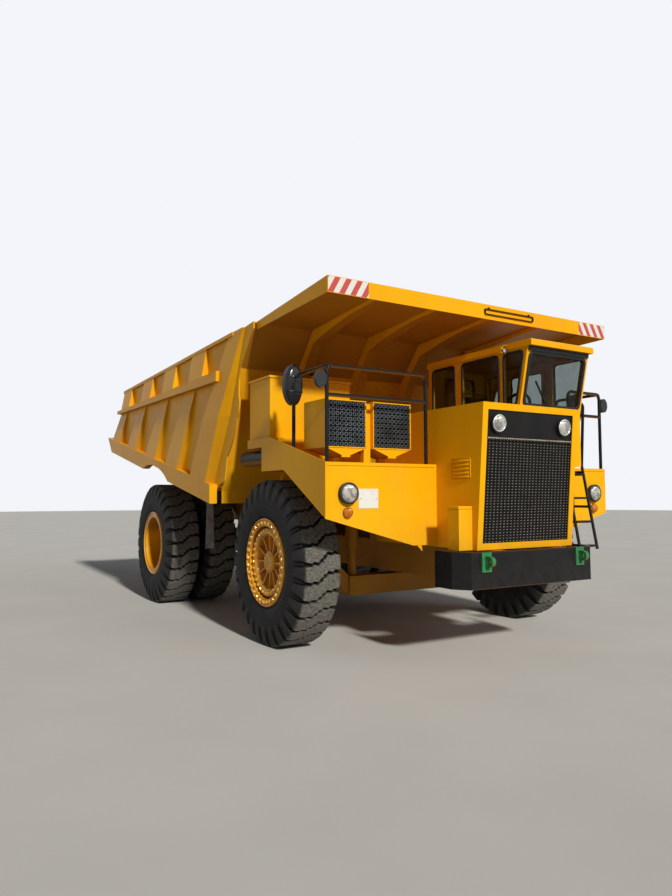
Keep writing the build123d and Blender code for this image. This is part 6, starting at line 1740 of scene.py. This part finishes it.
@dataclass
class DriverSeat:
    """Seat: folded bellows under a sewn, foam-filled cushion and back."""

    x: float = 0.765
    y: float = -2.8575
    floor_z: float = 1.995
    cushion: tuple[Vec, Vec] = ((-0.250, -0.260, 0.320), (0.250, 0.250, 0.440))
    back: Sequence[Flat] = ((0.150, 0.440), (0.258, 0.440), (0.330, 0.950), (0.230, 0.950))
    back_half: float = 0.240
    folds: int = 6
    bellows_half: Flat = (0.168, 0.188)    # half width in a fold's valley and on its crest
    bellows_height: float = 0.317
    hem: float = 0.012             # of a pad's cover, inside its box
    pull_in: float = 0.05          # how far its sides pull in between the corners, of its half width
    rim_share: float = 0.12        # half thickness of its rim and of its swell, of the box's
    swell_share: float = 0.68

    def build(self) -> None:
        """Makes bellows, cushion and back."""
        bellows = Shape()
        rows = []
        for k in range(2 * self.folds + 1):
            half = self.bellows_half[k % 2]
            z = self.floor_z + 0.001 + self.bellows_height * k / (2 * self.folds)
            rows.append([(self.x + half * cx, self.y + half * cy, z) for cx, cy in self.rounded_square()])
        bellows.grid(rows, loop=True)
        bellows.build("seat_bellows", Finish.PLASTIC, "chassis", smooth=50.0)
        lo, hi = self.cushion
        low = Vector((self.x + lo[0], self.y + lo[1], self.floor_z + lo[2]))
        high = Vector((self.x + hi[0], self.y + hi[1], self.floor_z + hi[2]))
        cushion = self.pad("seat_cushion", low, high, 0.0)
        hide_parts("seat")
        (y0, z0), (y1, _), (y2, z2), _ = self.back
        lean = math.atan2(y2 - y1, z2 - z0)
        low = Vector((self.x - self.back_half, self.y + y0, self.floor_z + z0 + 0.005))
        high = Vector((self.x + self.back_half, self.y + y1 - 0.006, self.floor_z + z2))
        self.pad("seat_back", low, high, lean)

    @staticmethod
    def rounded_square() -> list[Flat]:
        """Square from -1 to 1 with rounded corners.

        Returns:
            Its points in order.
        """
        points = []
        for quarter, (cx, cy) in enumerate(((0.8, 0.8), (-0.8, 0.8), (-0.8, -0.8), (0.8, -0.8))):
            for k in range(5):
                t = math.pi / 2 * (quarter + k / 4)
                points.append((cx + 0.2 * math.cos(t), cy + 0.2 * math.sin(t)))
        return points

    def pad(self, name: str, low: Vector, high: Vector, lean: float) -> bpy.types.Object:
        """Makes one foam-filled pad, blown up in its sewn cover.

        Args:
            name: name of the piece.
            low: lower corner of its cover.
            high: upper corner.
            lean: how far it leans back about its lower edge, in radians.

        Returns:
            The pad.
        """
        middle, half = (low + high) / 2, (high - low) / 2
        shape = Shape()
        steps = 10
        thin = min(range(3), key=lambda i: half[i])
        across, along = [i for i in range(3) if i != thin]
        for face in (-1, 1):
            rows = []
            for i in range(steps + 1):
                row = []
                for j in range(steps + 1):
                    u, v = 2 * i / steps - 1, 2 * j / steps - 1
                    point = [0.0, 0.0, 0.0]
                    for axis, a, b in ((across, u, v), (along, v, u)):
                        waist = 1 - self.pull_in * b * b
                        point[axis] = middle[axis] + a * (half[axis] - self.hem) * waist
                    swell = (1 - u ** 6) ** 0.5 * (1 - v ** 6) ** 0.5
                    point[thin] = middle[thin] + face * (half[thin] * self.rim_share
                                                         + half[thin] * self.swell_share * swell)
                    row.append(tuple(point))
                rows.append(row)
            shape.grid(rows)
        sheet = (steps + 1) ** 2
        rim = ([j for j in range(steps + 1)] + [i * (steps + 1) + steps for i in range(1, steps + 1)]
               + [steps * (steps + 1) + j for j in range(steps - 1, -1, -1)]
               + [i * (steps + 1) for i in range(steps - 1, 0, -1)])
        shape.faces.extend((a, b, sheet + b, sheet + a) for a, b in zip(rim, rim[1:] + rim[:1]))
        piece = shape.build(name, Finish.SEAT, "chassis", smooth=75.0)
        self.blow_up(piece, low, high)
        seams = self.seams(piece, middle, half, thin)
        foot = Matrix.Translation((0.0, low.y, low.z))
        turn = foot @ Matrix.Rotation(-lean, 4, "X") @ foot.inverted()
        for part in (piece, seams):
            part.data.transform(turn)
        return piece

    def blow_up(self, piece: bpy.types.Object, low: Vector, high: Vector) -> None:
        """Fills the cover by cloth pressure, keeps it within its foam's box, and smooths it once.

        Args:
            piece: the pad's cover.
            low: lowest corner it may reach.
            high: highest corner it may reach.
        """
        remesh = piece.modifiers.new("even_mesh", "REMESH")
        remesh.mode, remesh.voxel_size, remesh.use_smooth_shade = "VOXEL", 0.010, True
        cloth = piece.modifiers.new("foam", "CLOTH")
        cloth.settings.use_pressure = True
        cloth.settings.uniform_pressure_force = 4.0
        cloth.settings.effector_weights.gravity = 0.0
        scene = bpy.context.scene
        for step in range(1, 21):
            scene.frame_set(step)
        graph = bpy.context.evaluated_depsgraph_get()
        blown = bpy.data.meshes.new_from_object(piece.evaluated_get(graph))
        piece.modifiers.clear()
        piece.data = blown
        scene.frame_set(1)
        for vertex in blown.vertices:
            for axis in range(3):
                vertex.co[axis] = min(max(vertex.co[axis], low[axis] + 0.001), high[axis] - 0.001)
        smooth = piece.modifiers.new("smooth", "SUBSURF")
        smooth.levels = smooth.render_levels = 1
        blown.shade_smooth()

    def seams(self, piece: bpy.types.Object, middle: Vector, half: Vector, thin: int) -> bpy.types.Object:
        """Lays the piping round the pad's edge.

        Args:
            piece: the pad.
            middle: its middle.
            half: half of its size.
            thin: axis of its thickness.

        Returns:
            The piping.
        """
        across, along = [i for i in range(3) if i != thin]
        out = [0.0, 0.0, 0.0]
        out[thin] = 1.0
        corners = []
        for u, v in ((-1, -1), (1, -1), (1, 1), (-1, 1)):
            point = [0.0, 0.0, 0.0]
            point[across] = middle[across] + u * (half[across] - 0.010)
            point[along] = middle[along] + v * (half[along] - 0.010)
            point[thin] = middle[thin]
            corners.append(tuple(point))
        piping = Shape()
        piping.trim(corners, tuple(out), 0.009, 0.005, 0.045)
        return piping.build(f"{piece.name}_piping", Finish.GASKET, "chassis", "seat_cloth", smooth=60.0)


@dataclass(frozen=True)
class Lamp:
    """Distant soft lamp."""

    name: str
    towards: Vec                   # direction that its light goes
    strength: float
    colour: Rgb
    spread: float                  # its angle in degrees

    def build(self) -> None:
        """Hangs the lamp."""
        light = bpy.data.lights.new(self.name, "SUN")
        light.energy, light.color, light.angle = self.strength, self.colour, math.radians(self.spread)
        holder = bpy.data.objects.new(self.name, light)
        holder.matrix_world = Vector(self.towards).to_track_quat("-Z", "Y").to_matrix().to_4x4()
        bpy.context.scene.collection.objects.link(holder)


@dataclass
class Studio:
    """Pale floor, soft light and the camera at the photograph's angle."""

    camera_at: Vec = (-5.304, -9.2555, 1.641)
    heading: float = 31.135        # from +Y towards +X
    pitch: float = 3.851
    roll: float = -0.121
    focal_px: float = 697.685
    picture: tuple[int, int] = (672, 896)
    reach: float = 70.0            # radius of the floor
    # Colour and strength of the sky: its light on matt surfaces, and what shows of it
    sky_light: tuple[Rgb, float] = ((0.86, 0.89, 0.95), 0.07)
    sky_seen: tuple[Rgb, float] = ((0.94, 0.96, 1.0), 0.95)
    lamps: Sequence[Lamp] = (
        Lamp("key", (0.085, 1.0, -0.58), 3.1, (1.0, 0.97, 0.88), 4.0),
        Lamp("fill", (-0.5, 0.8, -0.5), 0.30, (0.9, 0.95, 1.0), 40.0),
    )

    def camera(self) -> None:
        """Places the camera."""
        lens = bpy.data.cameras.new("photo_camera")
        lens.sensor_width = 36.0
        lens.lens = self.focal_px / max(self.picture) * lens.sensor_width
        lens.clip_end = 400.0
        holder = bpy.data.objects.new("photo_camera", lens)
        turn = (Matrix.Rotation(math.radians(-self.heading), 4, "Z")
                @ Matrix.Rotation(math.radians(90.0 + self.pitch), 4, "X")
                @ Matrix.Rotation(math.radians(self.roll), 4, "Z"))
        holder.matrix_world = Matrix.Translation(self.camera_at) @ turn
        bpy.context.scene.collection.objects.link(holder)
        bpy.context.scene.camera = holder

    def floor(self) -> None:
        """Lays the floor."""
        mesh = bpy.data.meshes.new("floor")
        rim = ring(Vector(), Vector((1.0, 0.0, 0.0)), Vector((0.0, 1.0, 0.0)), self.reach, 96)
        mesh.from_pydata(rim, [], [list(range(len(rim)))])
        floor = bpy.data.objects.new("floor", mesh)
        bpy.context.scene.collection.objects.link(floor)
        g = Graph("floor_pale")
        tone = g.mix(g.ramp(g.noise(0.6, 5.0), 0.3, 0.7), (0.66, 0.65, 0.63), (0.71, 0.70, 0.685))
        g.principled(Base_Color=tone, Roughness=0.9, Specular_IOR_Level=0.2,
                     Normal=g.bump(g.noise(30.0), 0.001, 0.3))
        mesh.materials.append(g.material)

    def world(self) -> None:
        """Lights the sky evenly; what the camera, gloss and glass see of it is near white."""
        world = bpy.data.worlds.new("studio")
        bpy.context.scene.world = world
        world.use_nodes = True
        tree = world.node_tree
        tree.nodes.clear()
        path = tree.nodes.new("ShaderNodeLightPath")
        seen = None
        for key in ("Is Camera Ray", "Is Glossy Ray", "Is Transmission Ray"):
            if seen is None:
                seen = path.outputs[key]
                continue
            either = tree.nodes.new("ShaderNodeMath")
            either.operation = "MAXIMUM"
            tree.links.new(seen, either.inputs[0])
            tree.links.new(path.outputs[key], either.inputs[1])
            seen = either.outputs["Value"]
        parts = []
        for colour, strength in (self.sky_light, self.sky_seen):
            part = tree.nodes.new("ShaderNodeBackground")
            part.inputs["Color"].default_value = (*colour, 1.0)
            part.inputs["Strength"].default_value = strength
            parts.append(part)
        blend = tree.nodes.new("ShaderNodeMixShader")
        tree.links.new(seen, blend.inputs["Fac"])
        for i, part in enumerate(parts):
            tree.links.new(part.outputs["Background"], blend.inputs[i + 1])
        out = tree.nodes.new("ShaderNodeOutputWorld")
        tree.links.new(blend.outputs["Shader"], out.inputs["Surface"])

    def build(self) -> None:
        """Sets up camera, floor and light."""
        self.camera()
        self.floor()
        self.world()
        for lamp in self.lamps:
            lamp.build()
        bpy.context.scene.view_settings.view_transform = "Standard"


def main() -> None:
    """Builds every sub-assembly in order."""
    logging.basicConfig(level=logging.INFO, format="%(message)s")
    Studio().build()
    dress_nodes()
    TyreSet(FRONT_WHEEL_X, REAR_WHEELS_X).build()
    for side in Side:
        WheelTrim(side, FRONT_AXLE_Y, f"front_wheel_{side.word}", bead_x=FRONT_WHEEL_X + BEAD_OUT,
                  bead_radius=0.471, bolts=FRONT_BOLTS, valve=(FRONT_WHEEL_X + 0.135, 0.386)).build()
        WheelTrim(side, REAR_AXLE_Y, f"rear_wheels_{side.word}", bead_x=REAR_WHEELS_X[1] + BEAD_OUT,
                  bead_radius=0.462, bolts=REAR_BOLTS, valve=(1.730, 0.388)).build()
    RadiatorFront(HOOD_FACE).build()
    FrontBits().build()
    for name, x in CLEANERS:
        low, high = ((x + s * CLEANER_HALF, z) for s, z in zip((-1, 1), CLEANER_Z))
        FilterFace(name, low, high, CLEANER_Y).build()
    CabTrim().build()
    FenderTrim().build()
    TankTrim().build()
    CanopyMarks().build()
    BodyWelds().build()
    MirrorFaces().build()
    Plumbing().build()
    DriverSeat().build()


if __name__ == "__main__":
    main()
